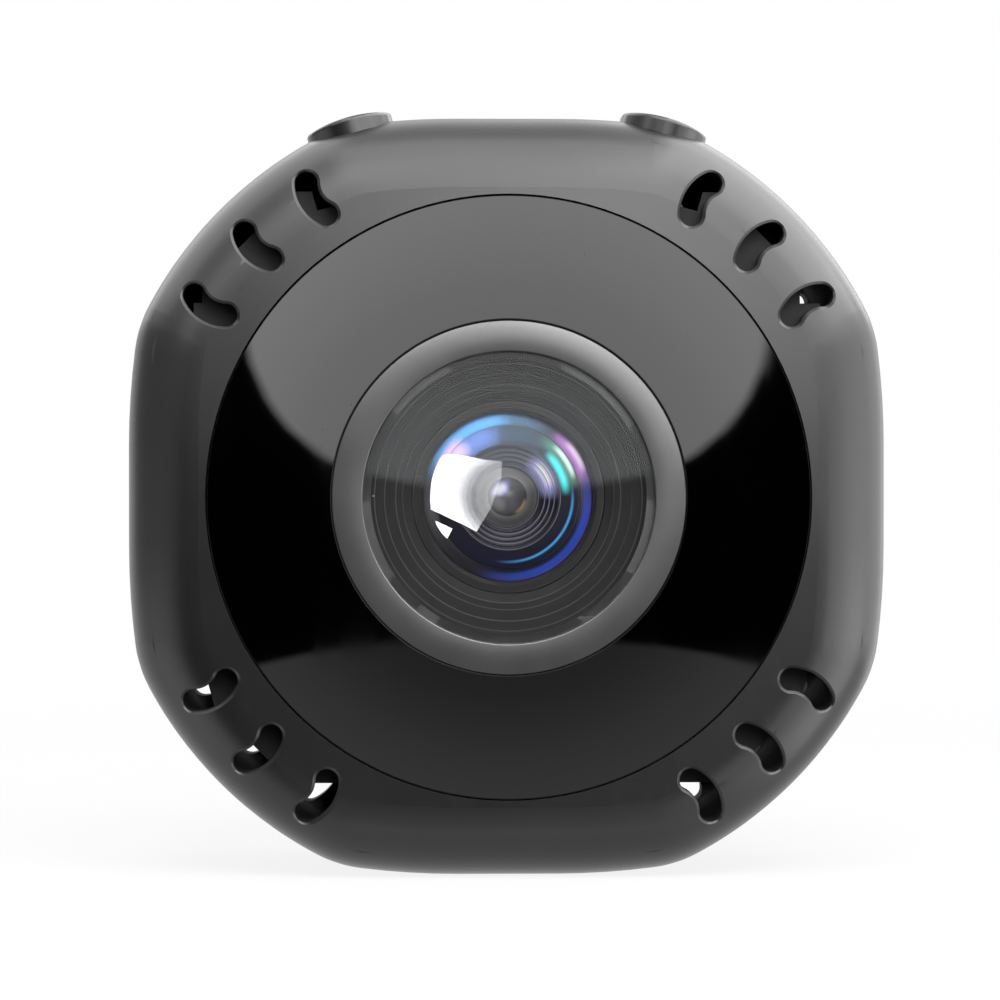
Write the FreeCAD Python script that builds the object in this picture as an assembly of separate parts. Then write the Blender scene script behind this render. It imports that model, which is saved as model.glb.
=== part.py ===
import FreeCAD, Part
import math
import os

from FreeCAD import Vector

# Mini camera, in millimetres. X runs to the right as seen from the front, the lens looks along -Y and
# Z is up. Shapes are built about the lens axis (X = Z = 0, Y = 0 at half depth) and lifted at the end,
# so that the foot of the housing stands on Z = 0.

# Housing outline, seen from the front
face_half = 22.5            # lens axis to each flat side
foot_half = 3.0             # half width of the true flat in the middle of each side
bow_radius = 45.0           # slight bow on both sides of that flat
blend_radius = 7.6          # turn from the bow into the corner
corner_swell = 1.64         # corners lie on one circle about the lens axis, this far beyond the flats

# Housing section
depth = 20.0
edge_roll = 4.3             # round edge around the front and the back
side_wall = 1.4
front_wall = 2.2
rear_wall = 1.6
tongue_inset = 0.75         # from the outside to the rear shell's tongue
tongue_length = 1.1
shell_fit = 0.08
seam_half = 0.12            # half width of the groove between the shells
seam_depth = 0.2
seam_web = 0.8              # wall left between the seam and the charging socket

# Vents: bean-shaped slots, three in each corner, on one circle
vent_length = 2.25          # between the ends of a slot's centre line
vent_edge_gap = 2.14        # slot's outer end to the corner
vent_end_radius = 0.68
vent_sagitta = 0.33
vent_step = 12.2            # degrees between the slots of one corner
vent_depth = 5.0
vent_lip = 0.16             # chamfer around the mouth of each slot

# Front panel and its adhesive ring
panel_margin = 0.46         # flat rim left between the panel and the rolled edge
panel_gap = 0.08
panel_thickness = 1.0
panel_round = 0.06
adhesive_thickness = 0.15
adhesive_width = 3.2
adhesive_margin = 0.3

# Trim ring around the lens, and its clear window
ring_radius = 10.41
ring_bore = 8.62
ring_gap = 0.05
ring_sleeve_wall = 1.1
ring_sleeve_fit = 0.05
ring_length = 3.2
ring_round = 0.08
ledge_bore = 8.12
ledge_thickness = 0.5
window_thickness = 0.8
window_gap = 0.04
window_set_back = 0.05

# Lens
barrel_gap = 0.1            # window ledge to barrel face
barrel_radius = 8.4
barrel_ring_fit = 0.1
barrel_head = 2.9
barrel_step_one = 7.31      # radii of the steps on the barrel face
barrel_step_two = 6.25
barrel_step_drop = 0.22
barrel_cone_drop = 0.12
neck_radius = 5.95
neck_length = 4.2
retainer_radius = 5.68
retainer_bore = 5.04
retainer_height = 0.85
lens_seat = 0.4
lens_gap = 0.02
dome_radius = 9.0
hollow_radius = 7.5         # back of the front lens
hollow_edge = 4.1
spacer_bore = 2.8
spacer_bevel = 3.16
spacer_thickness = 0.65
second_radius = 3.2
second_thickness = 1.0
bead_radius = 1.3           # small dome in the middle of the second lens
bead_height = 0.9
iris_radius = 1.4
iris_thickness = 0.4
rear_lens_radius = 4.0
rear_lens_edge = 0.6
rear_lens_curve = 11.0
holder_bore_fit = 0.05
holder_wall = 1.4
holder_tube = 6.2
holder_base = 16.0
holder_base_thickness = 2.2
holder_web = 0.6
holder_aperture = 3.6
filter_side = 9.0
filter_thickness = 0.3
sensor_pocket = 10.0
sensor_pocket_depth = 1.9
sensor_width = 7.6
sensor_height = 7.2
sensor_thickness = 1.1

# Infrared lamps behind the panel
led_circle = 12.3
led_radius = 1.5
led_height = 1.0
led_window_gap = 0.2
led_count = 6
led_board_thickness = 0.8
led_board_gap = 0.3         # around the ring's sleeve
led_board_margin = 0.1      # outside the lamps
led_board_post_gap = 0.14
eye_radius = 0.9            # daylight sensor
eye_height = 0.6
stake_radius = 0.5
stake_fit = 0.06
stake_head = 0.9
stake_head_height = 0.28
ribbon_width = 6.0
ribbon_thickness = 0.15
ribbon_flap = 1.4
ribbon_slot_gap = 0.4

# Inner frame
frame_side_gap = 2.5        # to the inside of the housing, at the sides
frame_top_gap = 3.0
frame_foot_gap = 4.1
frame_upper_cut_gap = 1.04  # to the corner of the housing, along the diagonals
frame_lower_cut_gap = 1.64
frame_right_step = 1.2
frame_left_step = 0.5
frame_step_height = 11.5
frame_taper_height = 8.0
frame_wall = 1.0
frame_plate = 1.0
frame_led_gap = 0.35
frame_barrel_gap = 0.3
board_gap = 0.15

# Main board and its parts
board_thickness = 0.8
chip_height = 1.0
chip_card_gap = 3.0
module_width = 6.0
module_height = 8.0
module_thickness = 1.5
module_gap = 1.0
module_usb_gap = 1.4
usb_width = 8.94
usb_height = 3.26
usb_length = 7.35
usb_wall = 0.3
usb_set_back = 0.75
usb_opening_gap = 0.18
usb_tongue_width = 6.7
usb_tongue_thickness = 0.7
usb_tongue_length = 5.6
card_width = 14.0
card_length = 14.6
card_thickness = 1.85
card_set_back = 0.5         # behind the inside of the housing
card_opening_width = 11.6
card_opening_height = 1.3
card_lid = 0.2
lamp_side_gap = 5.8         # lamp to the inside of the housing
lamp_z = -8.5
lamp_height = 0.6
lamp_side = 1.6
pipe_radius = 1.0
pipe_fit = 0.05
pipe_gap = 0.1

# Battery
battery_usb_gap = 0.9
battery_post_gap = 0.6
battery_edge_flat = 1.4     # flat left along the middle of its round edges
battery_gap = 0.35
tape_thickness = 0.2
tape_margin = 2.5
connector_width = 5.0
connector_height = 2.8
connector_thickness = 2.0
connector_gap = 0.9
lead_radius = 0.35
lead_half_pitch = 1.0
lead_bend = 0.5
lead_depth = 1.0            # battery's front face to the lead

# Magnets behind the rear wall
magnet_radius = 3.0
magnet_thickness = 2.0
magnet_rib = 0.8
magnet_fit = 0.1
magnet_side_gap = 1.8       # rib to the inside of the housing

# Microphone behind a pinhole in the top
mic_radius = 2.0
mic_height = 1.5
mic_y = -2.2
boot_wall = 0.75
mic_hole_radius = 0.5

# Antenna strip on the side of the frame
antenna_length = 14.0
antenna_width = 5.0
antenna_thickness = 0.4

# Screws
frame_post_x_gap = 1.0      # frame's inner wall to the edge of a post
post_radius = 1.8
case_post_step = 4.8        # across, from the frame's posts to the case's
case_post_z_gap = 0.4
rear_post_radius = 2.2
screw_shaft = 0.75
screw_head = 1.4
screw_head_height = 0.8
screw_gap = 0.15
screw_pilot_fit = 0.02
case_screw_sink = 0.6       # screw heads below the back face
case_screw_length = 10.0
small_shaft = 0.6
small_head = 1.2
small_head_height = 0.55
frame_screw_length = 2.6
holder_screw_length = 2.4
holder_screw_z = 9.2
holder_lug_radius = 1.8
cross_length = 0.62         # share of the head taken by the cross recess
cross_width = 0.4
cross_depth = 0.4

# Push buttons on the top corners
button_x = 9.4              # where the button's axis meets the housing
button_tilt = 16.0          # degrees outward from vertical
button_set_back = 2.3       # behind the front face
button_width = 5.2
button_length = 7.0
button_proud = 0.45
button_crown = 11.3
button_edge = 0.22
button_gap = 0.12
button_skirt = 0.55         # head below the housing's surface
button_travel = 0.35
button_rest_gap = 0.1
stem_width = 3.2
stem_length = 4.6
stem_fit = 0.1
guide_depth = 2.1           # surface to the bottom of the guide
guide_wall = 0.7
hook_reach = 0.35
hook_height = 0.45
hook_gap = 0.05
hook_room = 0.2             # around the ends of the hooks
nub_radius = 0.9
nub_length = 0.25
contact_gap = 0.04

# Switch under each button
plunger_radius = 0.8
plunger_above = 0.45        # plunger above the switch body
plunger_fit = 0.05
switch_width = 4.0
switch_length = 3.2
switch_height = 0.85
switch_floor = 0.25
flex_thickness = 0.15
flex_width = 4.6
flex_length = 4.0
flex_tail_width = 3.0
flex_tail_drop = 1.5
pad_half = 2.9
pad_thickness = 1.3
tail_gap = 0.3

# Planes worked out from the sizes above
front_y = -depth / 2
back_y = depth / 2
corner_radius = face_half + corner_swell
vent_outer = corner_radius - vent_edge_gap
vent_inner = vent_outer - vent_length
inner_half = face_half - side_wall
inner_corner = corner_radius - side_wall
cavity_front = front_y + front_wall
cavity_back = back_y - rear_wall
panel_radius = face_half - edge_roll - panel_margin
panel_back = front_y + panel_thickness
floor_y = panel_back + adhesive_thickness
sleeve_radius = barrel_radius + barrel_ring_fit + ring_sleeve_wall
window_front = front_y + window_set_back
window_back = window_front + window_thickness
ledge_back = window_back + ledge_thickness
barrel_front = ledge_back + barrel_gap
barrel_shoulder = barrel_front + barrel_head
neck_back = barrel_shoulder + neck_length
retainer_front = barrel_front + 2 * barrel_step_drop + 2 * barrel_cone_drop
lens_rim = retainer_front + retainer_height
lens_back = lens_rim + lens_seat
spacer_back = lens_back + spacer_thickness
second_back = spacer_back + second_thickness
iris_back = second_back + iris_thickness
led_board_front = cavity_front
led_board_back = led_board_front + led_board_thickness
frame_front = led_board_back + frame_led_gap
frame_inside = frame_front + frame_plate
holder_web_front = neck_back + frame_led_gap
holder_web_back = holder_web_front + holder_web
board_front = holder_web_back + sensor_pocket_depth
board_back = board_front + board_thickness
usb_middle = board_back + usb_height / 2
seam_y = usb_middle - usb_height / 2 - usb_opening_gap - seam_web
battery_back = cavity_back - tape_thickness
battery_front = board_back + card_thickness + battery_gap
frame_side = inner_half - frame_side_gap
frame_top = inner_half - frame_top_gap
frame_foot = inner_half - frame_foot_gap
frame_post_x = frame_side - frame_right_step - frame_wall - frame_post_x_gap - post_radius
led_board_radius = led_circle + led_radius + led_board_margin
frame_post_line = led_board_radius + led_board_post_gap + post_radius
frame_post_z = frame_post_line * math.sqrt(2) - frame_post_x
case_post_x = frame_post_x - case_post_step
case_post_z = frame_foot - frame_wall - case_post_z_gap - post_radius
usb_mouth = face_half - usb_set_back
usb_back = usb_mouth - usb_length
card_mouth = -inner_half + card_set_back
card_back = card_mouth + card_length
module_x = usb_back - module_usb_gap - module_width / 2
chip_left = card_back + chip_card_gap
chip_side = module_x - module_width / 2 - module_gap - chip_left
lamp_x = inner_half - lamp_side_gap
battery_width = 2 * (usb_back - battery_usb_gap)
battery_height = 2 * (case_post_z - rear_post_radius - battery_post_gap)
magnet_height = inner_half - magnet_side_gap - magnet_rib - magnet_fit - magnet_radius
button_y = front_y + button_set_back + button_length / 2
overrun = 5.0               # how far cutting tools pass the faces that they open


def disc(radius, y_front, y_back, x=0.0, z=0.0):
    """Round rod along Y between two planes."""
    return Part.makeCylinder(radius, y_back - y_front, Vector(x, y_front, z), Vector(0, 1, 0))


def block(x_range, y_range, z_range):
    """Box between pairs of coordinates."""
    size = [high - low for low, high in (x_range, y_range, z_range)]
    return Part.makeBox(size[0], size[1], size[2], Vector(x_range[0], y_range[0], z_range[0]))


def centred(x, y_range, z, width, height):
    """Box of a given width and height about a line along Y."""
    return block((x - width / 2, x + width / 2), y_range, (z - height / 2, z + height / 2))


def revolve(profile):
    """Turned piece about the lens axis, from a closed list of (radius, y) points."""
    points = [Vector(radius, y, 0) for radius, y in profile]
    face = Part.Face(Part.makePolygon(points + points[:1]))
    return face.revolve(Vector(0, 0, 0), Vector(0, 1, 0), 360)


def edges_at(shape, y):
    """Edges that lie in the plane at one depth."""
    near = 1e-4
    return [edge for edge in shape.Edges
            if abs(edge.BoundBox.YMin - y) < near and abs(edge.BoundBox.YMax - y) < near]


def blend_centre():
    """Centre of the turn that touches both the bow and the corner circle, as (along, out)."""
    bow = (foot_half, face_half - bow_radius)
    reach_bow = bow_radius - blend_radius
    reach_corner = corner_radius - blend_radius
    span = math.hypot(*bow)
    along = (reach_corner ** 2 - reach_bow ** 2 + span ** 2) / (2 * span)
    aside = math.sqrt(reach_corner ** 2 - along ** 2)
    unit = (bow[0] / span, bow[1] / span)
    return (along * unit[0] - aside * unit[1], along * unit[1] + aside * unit[0])


def side_arcs(inset):
    """Half of one side from the flat to the corner: (start, middle, end) of each arc, as (along, out)."""
    bow = (foot_half, face_half - bow_radius)
    blend = blend_centre()

    def on_arc(centre, radius, angle):
        return (centre[0] + radius * math.sin(angle), centre[1] + radius * math.cos(angle))

    turn_one = math.atan2(blend[0] - bow[0], blend[1] - bow[1])
    turn_two = math.atan2(blend[0], blend[1])
    quarter = math.pi / 4
    arcs = []
    for centre, radius, first, last in ((bow, bow_radius, 0.0, turn_one),
                                        (blend, blend_radius, turn_one, turn_two),
                                        ((0.0, 0.0), corner_radius, turn_two, quarter)):
        arcs.append([on_arc(centre, radius - inset, angle) for angle in (first, (first + last) / 2, last)])
    return arcs


def outline(inset, y):
    """Closed outline of the housing at one depth, drawn in by an inset."""
    edges = []
    for quarter in range(4):
        angle = quarter * math.pi / 2

        def place(point, flip):
            along = -point[0] if flip else point[0]
            x = point[1] * math.cos(angle) - along * math.sin(angle)
            z = point[1] * math.sin(angle) + along * math.cos(angle)
            return Vector(x, y, z)

        flat_end = (foot_half, face_half - inset)
        edges.append(Part.LineSegment(place(flat_end, True), place(flat_end, False)).toShape())
        for flip in (True, False):
            for arc in side_arcs(inset):
                points = [place(point, flip) for point in arc]
                edges.append(Part.Arc(*points).toShape())
    return Part.Wire(Part.__sortEdges__(edges))


def prism(inset, y_front, y_back):
    """Housing outline, drawn in by an inset, as a solid between two depths."""
    return Part.Face(outline(inset, y_front)).extrude(Vector(0, y_back - y_front, 0))


def rolled_prism(inset, y_front, y_back, roll):
    """The same solid with its front and back edges rounded."""
    solid = prism(inset, y_front, y_back)
    return solid.makeFillet(roll, edges_at(solid, y_front) + edges_at(solid, y_back))


def surface_height(x):
    """Distance from the lens axis plane up to the outline at one place along the top side."""
    bow, blend, corner = side_arcs(0.0)
    if x < bow[2][0]:
        return face_half - bow_radius + math.sqrt(bow_radius ** 2 - (x - foot_half) ** 2)
    if x < blend[2][0]:
        centre = blend_centre()
        return centre[1] + math.sqrt(blend_radius ** 2 - (x - centre[0]) ** 2)
    return math.sqrt(corner_radius ** 2 - x ** 2)


def vent(y_front, y_back, angle):
    """One bean-shaped slot as a cutting tool, bowed against the clock as seen from the front."""
    half = (vent_outer - vent_inner) / 2
    radius = (half ** 2 + vent_sagitta ** 2) / (2 * vent_sagitta)
    middle = (vent_inner + vent_outer) / 2
    centre = (middle, vent_sagitta - radius)
    sweep = math.asin(half / radius)
    half_width = vent_end_radius

    def polar(turn, reach):
        return Vector(centre[0] + reach * math.sin(turn), y_front, centre[1] + reach * math.cos(turn))

    def cap(turn):
        end = polar(turn, radius)
        way = 1 if turn > 0 else -1
        return end + Vector(way * math.cos(turn), 0, -way * math.sin(turn)) * half_width

    outer = radius + half_width
    inner = radius - half_width
    edges = [
        Part.Arc(polar(-sweep, outer), polar(0, outer), polar(sweep, outer)).toShape(),
        Part.Arc(polar(sweep, outer), cap(sweep), polar(sweep, inner)).toShape(),
        Part.Arc(polar(sweep, inner), polar(0, inner), polar(-sweep, inner)).toShape(),
        Part.Arc(polar(-sweep, inner), cap(-sweep), polar(-sweep, outer)).toShape(),
    ]
    slot = Part.Face(Part.Wire(edges)).extrude(Vector(0, y_back - y_front, 0))
    slot.rotate(Vector(0, 0, 0), Vector(0, -1, 0), angle)
    return slot


def vent_angles():
    """Directions of all slots, seen from the front, in degrees from the right."""
    return [45 + 90 * corner + vent_step * place for corner in range(4) for place in (-1, 0, 1)]


def rear_vent_angles():
    """Directions of the slots that go on through the back: one at the upper right and the six lower ones."""
    return vent_angles()[:1] + vent_angles()[6:]


def pill(width, length, low, high):
    """Button-shaped prism in the button's own axes: width along X, length along Y, height along Z."""
    half = width / 2
    straight = length / 2 - half
    edges = [
        Part.LineSegment(Vector(half, -straight, low), Vector(half, straight, low)).toShape(),
        Part.Arc(Vector(half, straight, low), Vector(0, length / 2, low),
                 Vector(-half, straight, low)).toShape(),
        Part.LineSegment(Vector(-half, straight, low), Vector(-half, -straight, low)).toShape(),
        Part.Arc(Vector(-half, -straight, low), Vector(0, -length / 2, low),
                 Vector(half, -straight, low)).toShape(),
    ]
    return Part.Face(Part.Wire(edges)).extrude(Vector(0, 0, high - low))


def on_button(shape, side):
    """Place a shape from the button's own axes on the right (1) or left (-1) top corner."""
    placed = shape.copy()
    placed.rotate(Vector(0, 0, 0), Vector(0, 1, 0), button_tilt)
    placed.translate(Vector(button_x, button_y, surface_height(button_x)))
    if side < 0:
        placed = placed.mirror(Vector(0, 0, 0), Vector(1, 0, 0))
    return placed


def in_button_frame(x_half, y_range, z_range):
    """Box in the button's own axes, with its depths given as places along the camera's Y."""
    return block((-x_half, x_half), (y_range[0] - button_y, y_range[1] - button_y), z_range)


# Heights along the button's axis, from the housing's surface
head_bottom = -button_skirt
pocket_bottom = head_bottom - button_travel - button_rest_gap
hook_top = -guide_depth - hook_gap
hook_bottom = hook_top - hook_height
nub_bottom = hook_bottom - nub_length
plunger_top = nub_bottom - contact_gap
switch_top = plunger_top - plunger_above
switch_bottom = switch_top - switch_height
flex_bottom = switch_bottom - flex_thickness


def post_places(x, z):
    """Four mirrored places about the lens axis."""
    return [(x * across, z * up) for across in (1, -1) for up in (1, -1)]


def housing():
    """Closed hollow housing before it is split."""
    outer = rolled_prism(0.0, front_y, back_y, edge_roll)
    cavity = rolled_prism(side_wall, cavity_front, cavity_back, edge_roll - side_wall)
    return outer.cut(cavity)


def on_roll(point, face_y):
    """Whether a point lies on the rolled corner around the front or the back face."""
    near = 1e-3
    way = 1 if face_y < 0 else -1
    reach = max(math.hypot(point.x, point.z) - (corner_radius - edge_roll), 0.0)
    below = edge_roll - way * (point.y - face_y)
    return abs(math.hypot(reach, below) - edge_roll) < near


def break_mouths(shell, face_y):
    """Chamfer the mouths of all slots on the outside of one shell."""
    half = (vent_outer - vent_inner) / 2
    bow = (half ** 2 + vent_sagitta ** 2) / (2 * vent_sagitta)
    walls = (vent_end_radius, bow - vent_end_radius, bow + vent_end_radius)
    mouths = []
    for face in shell.Faces:
        if not isinstance(face.Surface, Part.Cylinder) or abs(face.Surface.Axis.y) < 0.99:
            continue
        middle = face.CenterOfMass
        reach = math.hypot(middle.x, middle.z)
        in_ring = vent_inner - vent_end_radius * 2 < reach < corner_radius - shell_fit
        if not in_ring or not any(abs(face.Surface.Radius - radius) < 1e-3 for radius in walls):
            continue
        for edge in face.Edges:
            if on_roll(edge.valueAt((edge.FirstParameter + edge.LastParameter) / 2), face_y):
                mouths.append(edge)
    return shell.makeChamfer(vent_lip, mouths)


def front_shell():
    """Front half of the housing with the panel's recess, vents, button guides and posts."""
    outer = rolled_prism(0.0, front_y, back_y, edge_roll)
    wide = (-face_half * 2, face_half * 2)
    keep = block(wide, (front_y - overrun, seam_y), wide)
    shell = housing().common(keep)
    rabbet = prism(tongue_inset - shell_fit, seam_y - tongue_length - shell_fit, seam_y + overrun)
    shell = shell.cut(rabbet)
    shell = shell.cut(seam_groove())
    shell = shell.cut(disc(panel_radius + panel_gap, front_y - overrun, floor_y))
    shell = shell.cut(disc(sleeve_radius + ring_sleeve_fit, front_y - overrun, cavity_front + overrun))
    for x, z in led_places():
        shell = shell.cut(disc(led_radius + led_window_gap, front_y, cavity_front + overrun, x, z))
    shell = shell.cut(disc(eye_radius + led_window_gap, front_y, cavity_front + overrun, *eye_place()))
    for side in (1, -1):
        guide = pill(button_width + 2 * guide_wall, button_length + 2 * guide_wall, -guide_depth, 0)
        shell = shell.fuse(on_button(guide, side).common(outer))
    for side in (1, -1):
        pocket = pill(button_width + 2 * button_gap, button_length + 2 * button_gap, pocket_bottom, overrun)
        bore = pill(stem_width + 2 * stem_fit, stem_length + 2 * stem_fit, -guide_depth - overrun, overrun)
        hook_half = stem_length / 2 + hook_reach + hook_room
        hook_space = block((-stem_width / 2, stem_width / 2), (-hook_half, hook_half),
                           (hook_bottom - overrun, -guide_depth))
        shell = shell.cut(on_button(pocket.fuse(bore).fuse(hook_space), side))
    for x, z in post_places(frame_post_x, frame_post_z):
        shell = shell.fuse(disc(post_radius, cavity_front - front_wall / 4, frame_front, x, z))
        pilot_end = frame_inside - frame_screw_length - screw_pilot_fit
        shell = shell.cut(disc(small_shaft + screw_pilot_fit, pilot_end, frame_front, x, z))
    for x in (led_circle, -led_circle):
        shell = shell.fuse(disc(stake_radius, cavity_front - front_wall / 4, led_board_back, x))
        shell = shell.fuse(disc(stake_head, led_board_back, led_board_back + stake_head_height, x))
    for angle in vent_angles():
        shell = shell.cut(vent(front_y - overrun, front_y + vent_depth, angle))
    shell = break_mouths(shell, front_y)
    mic = Part.makeCylinder(mic_hole_radius, side_wall + overrun, Vector(0, mic_y, inner_half - side_wall))
    return shell.cut(mic)


def rear_shell():
    """Back half of the housing with its tongue, screw posts, magnet rings and openings."""
    outer = rolled_prism(0.0, front_y, back_y, edge_roll)
    keep = block((-face_half * 2, face_half * 2), (seam_y, back_y + overrun), (-face_half * 2, face_half * 2))
    shell = housing().common(keep)
    tongue = prism(tongue_inset, seam_y - tongue_length, seam_y + seam_half * 2)
    tongue = tongue.cut(prism(side_wall, seam_y - tongue_length - overrun, seam_y + overrun))
    shell = shell.cut(seam_groove()).fuse(tongue)
    for x, z in post_places(case_post_x, case_post_z):
        shell = shell.fuse(disc(rear_post_radius, board_back, back_y - rear_wall / 2, x, z))
    for z in (magnet_height, -magnet_height):
        rib = disc(magnet_radius + magnet_fit + magnet_rib, cavity_back - magnet_thickness / 2,
                   back_y - rear_wall / 2, 0, z).common(outer)
        shell = shell.fuse(rib).cut(disc(magnet_radius + magnet_fit, seam_y, cavity_back, 0, z))
    for x, z in post_places(case_post_x, case_post_z):
        shell = shell.cut(disc(screw_shaft + screw_gap, board_back - overrun, back_y + overrun, x, z))
        shell = shell.cut(disc(screw_head + screw_gap, case_head_seat(), back_y + overrun, x, z))
    for angle in rear_vent_angles():
        shell = shell.cut(vent(back_y - vent_depth, back_y + overrun, angle))
    shell = break_mouths(shell, back_y)
    socket = usb_body(usb_width + 2 * usb_opening_gap, usb_height + 2 * usb_opening_gap, inner_half - overrun,
                      face_half + overrun)
    shell = shell.cut(socket)
    card = block((-face_half - overrun, -inner_half + overrun),
                 (card_middle() - card_opening_height / 2, card_middle() + card_opening_height / 2),
                 (-card_opening_width / 2, card_opening_width / 2))
    shell = shell.cut(card)
    return shell.cut(disc(pipe_radius + pipe_fit, cavity_back - overrun, back_y + overrun, lamp_x, lamp_z))


def seam_groove():
    """Fine groove around the housing where its shells meet."""
    ring = prism(-overrun, seam_y - seam_half, seam_y + seam_half)
    return ring.cut(prism(seam_depth, seam_y - seam_half, seam_y + seam_half))


def case_head_seat():
    """Depth at which the heads of the case screws bear."""
    return back_y - case_screw_sink - screw_head_height


def card_middle():
    """Depth of the middle of the card slot."""
    return board_back + card_thickness / 2


def led_places():
    """Centres of the infrared lamps, as (x, z)."""
    step = 2 * math.pi / led_count
    return [(led_circle * math.cos(step * (place + 0.5)), led_circle * math.sin(step * (place + 0.5)))
            for place in range(led_count)]


def eye_place():
    """Centre of the daylight sensor, as (x, z)."""
    step = 2 * math.pi / led_count
    return (led_circle * math.cos(step), led_circle * math.sin(step))


def front_panel():
    """Gloss panel with its bore for the trim ring."""
    panel = disc(panel_radius, front_y, panel_back).cut(disc(ring_radius + ring_gap, front_y, panel_back))
    return panel.makeFillet(panel_round, edges_at(panel, front_y))


def panel_adhesive():
    """Adhesive ring between the panel and the recess."""
    outer = panel_radius - adhesive_margin
    return disc(outer, panel_back, floor_y).cut(disc(outer - adhesive_width, panel_back, floor_y))


def lens_ring():
    """Trim ring: flat collar level with the panel, and a sleeve with the window's ledge."""
    end = front_y + ring_length
    ring = revolve([(ring_bore, front_y), (ring_radius, front_y),
                    (ring_radius, floor_y - adhesive_margin / 3),
                    (sleeve_radius, floor_y - adhesive_margin / 3), (sleeve_radius, end),
                    (barrel_radius + barrel_ring_fit, end), (barrel_radius + barrel_ring_fit, ledge_back),
                    (ledge_bore, ledge_back), (ledge_bore, window_back), (ring_bore, window_back)])
    return ring.makeFillet(ring_round, edges_at(ring, front_y))


def lens_window():
    """Flat clear window in front of the lens."""
    return disc(ring_bore - window_gap, window_front, window_back)


def lens_barrel():
    """Stepped barrel that holds the lens elements and screws into the holder."""
    face_two = barrel_front + barrel_cone_drop / 2 + barrel_step_drop
    face_three = face_two + barrel_cone_drop / 2 + barrel_step_drop
    return revolve([
        (barrel_radius, barrel_front), (barrel_step_one, barrel_front + barrel_cone_drop / 2),
        (barrel_step_one, face_two), (barrel_step_two, face_two + barrel_cone_drop / 2),
        (barrel_step_two, face_three), (retainer_radius + lens_gap, face_three + barrel_cone_drop / 2),
        (retainer_radius + lens_gap, lens_rim), (retainer_bore + lens_gap, lens_rim),
        (retainer_bore + lens_gap, lens_back), (hollow_edge + lens_gap, lens_back),
        (hollow_edge + lens_gap, spacer_back), (second_radius + lens_gap, spacer_back),
        (second_radius + lens_gap, second_back), (iris_radius, second_back), (iris_radius, iris_back),
        (rear_lens_radius + lens_gap, iris_back), (rear_lens_radius + lens_gap, neck_back),
        (neck_radius, neck_back), (neck_radius, barrel_shoulder), (barrel_radius, barrel_shoulder)])


def lens_retainer():
    """Threaded ring that holds the front lens down."""
    bevel = retainer_height / 4
    return revolve([(retainer_bore + bevel, retainer_front), (retainer_radius, retainer_front),
                    (retainer_radius, lens_rim), (retainer_bore, lens_rim),
                    (retainer_bore, retainer_front + bevel)])


def ball_at(radius, y):
    """Sphere on the lens axis."""
    return Part.makeSphere(radius, Vector(0, y, 0))


def front_lens():
    """Domed front element with a hollow back."""
    edge = retainer_bore - lens_gap
    rise = dome_radius - math.sqrt(dome_radius ** 2 - edge ** 2)
    dome = ball_at(dome_radius, lens_rim - rise + dome_radius)
    body = disc(edge, lens_rim - rise - 1, lens_back).common(dome.fuse(disc(edge, lens_rim, lens_back)))
    sink = hollow_radius - math.sqrt(hollow_radius ** 2 - hollow_edge ** 2)
    return body.cut(ball_at(hollow_radius, lens_back - sink + hollow_radius))


def lens_spacer():
    """Bevelled ring between the front lens and the second."""
    bevel = spacer_bevel - spacer_bore
    return revolve([(spacer_bevel, lens_back), (hollow_edge, lens_back), (hollow_edge, spacer_back),
                    (spacer_bore, spacer_back), (spacer_bore, lens_back + bevel)])


def second_lens():
    """Flat element with a small dome in its middle."""
    plate = disc(second_radius, spacer_back, second_back)
    bead = ball_at(bead_radius, spacer_back - bead_height + bead_radius)
    bead = bead.common(disc(bead_radius, spacer_back - bead_height, second_back))
    return plate.fuse(bead).removeSplitter()


def rear_lens():
    """Last element, domed on both sides, behind the iris."""
    half = rear_lens_edge / 2
    rise = rear_lens_curve - math.sqrt(rear_lens_curve ** 2 - rear_lens_radius ** 2)
    middle = iris_back + rise + half + barrel_gap
    front = ball_at(rear_lens_curve, middle - half - rise + rear_lens_curve)
    rear = ball_at(rear_lens_curve, middle + half + rise - rear_lens_curve)
    return disc(rear_lens_radius, iris_back, neck_back).common(front).common(rear)


def lens_holder():
    """Square foot on the board with the barrel's threaded tube and two lugs."""
    bore = neck_radius + holder_bore_fit
    base_front = board_front - holder_base_thickness
    holder = disc(bore + holder_wall, board_front - holder_tube, board_front)
    holder = holder.fuse(centred(0, (base_front, board_front), 0, holder_base, holder_base))
    for z in (holder_screw_z, -holder_screw_z):
        holder = holder.fuse(disc(holder_lug_radius, base_front, board_front, 0, z))
    holder = holder.cut(disc(bore, board_front - holder_tube - overrun, holder_web_front))
    holder = holder.cut(disc(holder_aperture, holder_web_front, board_front))
    holder = holder.cut(centred(0, (holder_web_back, board_front), 0, sensor_pocket, sensor_pocket))
    pilot_end = board_back - holder_screw_length - screw_pilot_fit
    for z in (holder_screw_z, -holder_screw_z):
        holder = holder.cut(disc(small_shaft + screw_pilot_fit, pilot_end, board_front, 0, z))
    return holder


def ir_cut_filter():
    """Thin square filter glued behind the holder's aperture."""
    return centred(0, (holder_web_back, holder_web_back + filter_thickness), 0, filter_side, filter_side)


def image_sensor():
    """Sensor chip on the main board."""
    return centred(0, (board_front - sensor_thickness, board_front), 0, sensor_width, sensor_height)


def led_board():
    """Ring-shaped board that carries the infrared lamps."""
    board = disc(led_board_radius, led_board_front, led_board_back)
    board = board.cut(disc(sleeve_radius + led_board_gap, led_board_front, led_board_back))
    for x in (led_circle, -led_circle):
        board = board.cut(disc(stake_radius + stake_fit, led_board_front, led_board_back, x))
    return board


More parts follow.
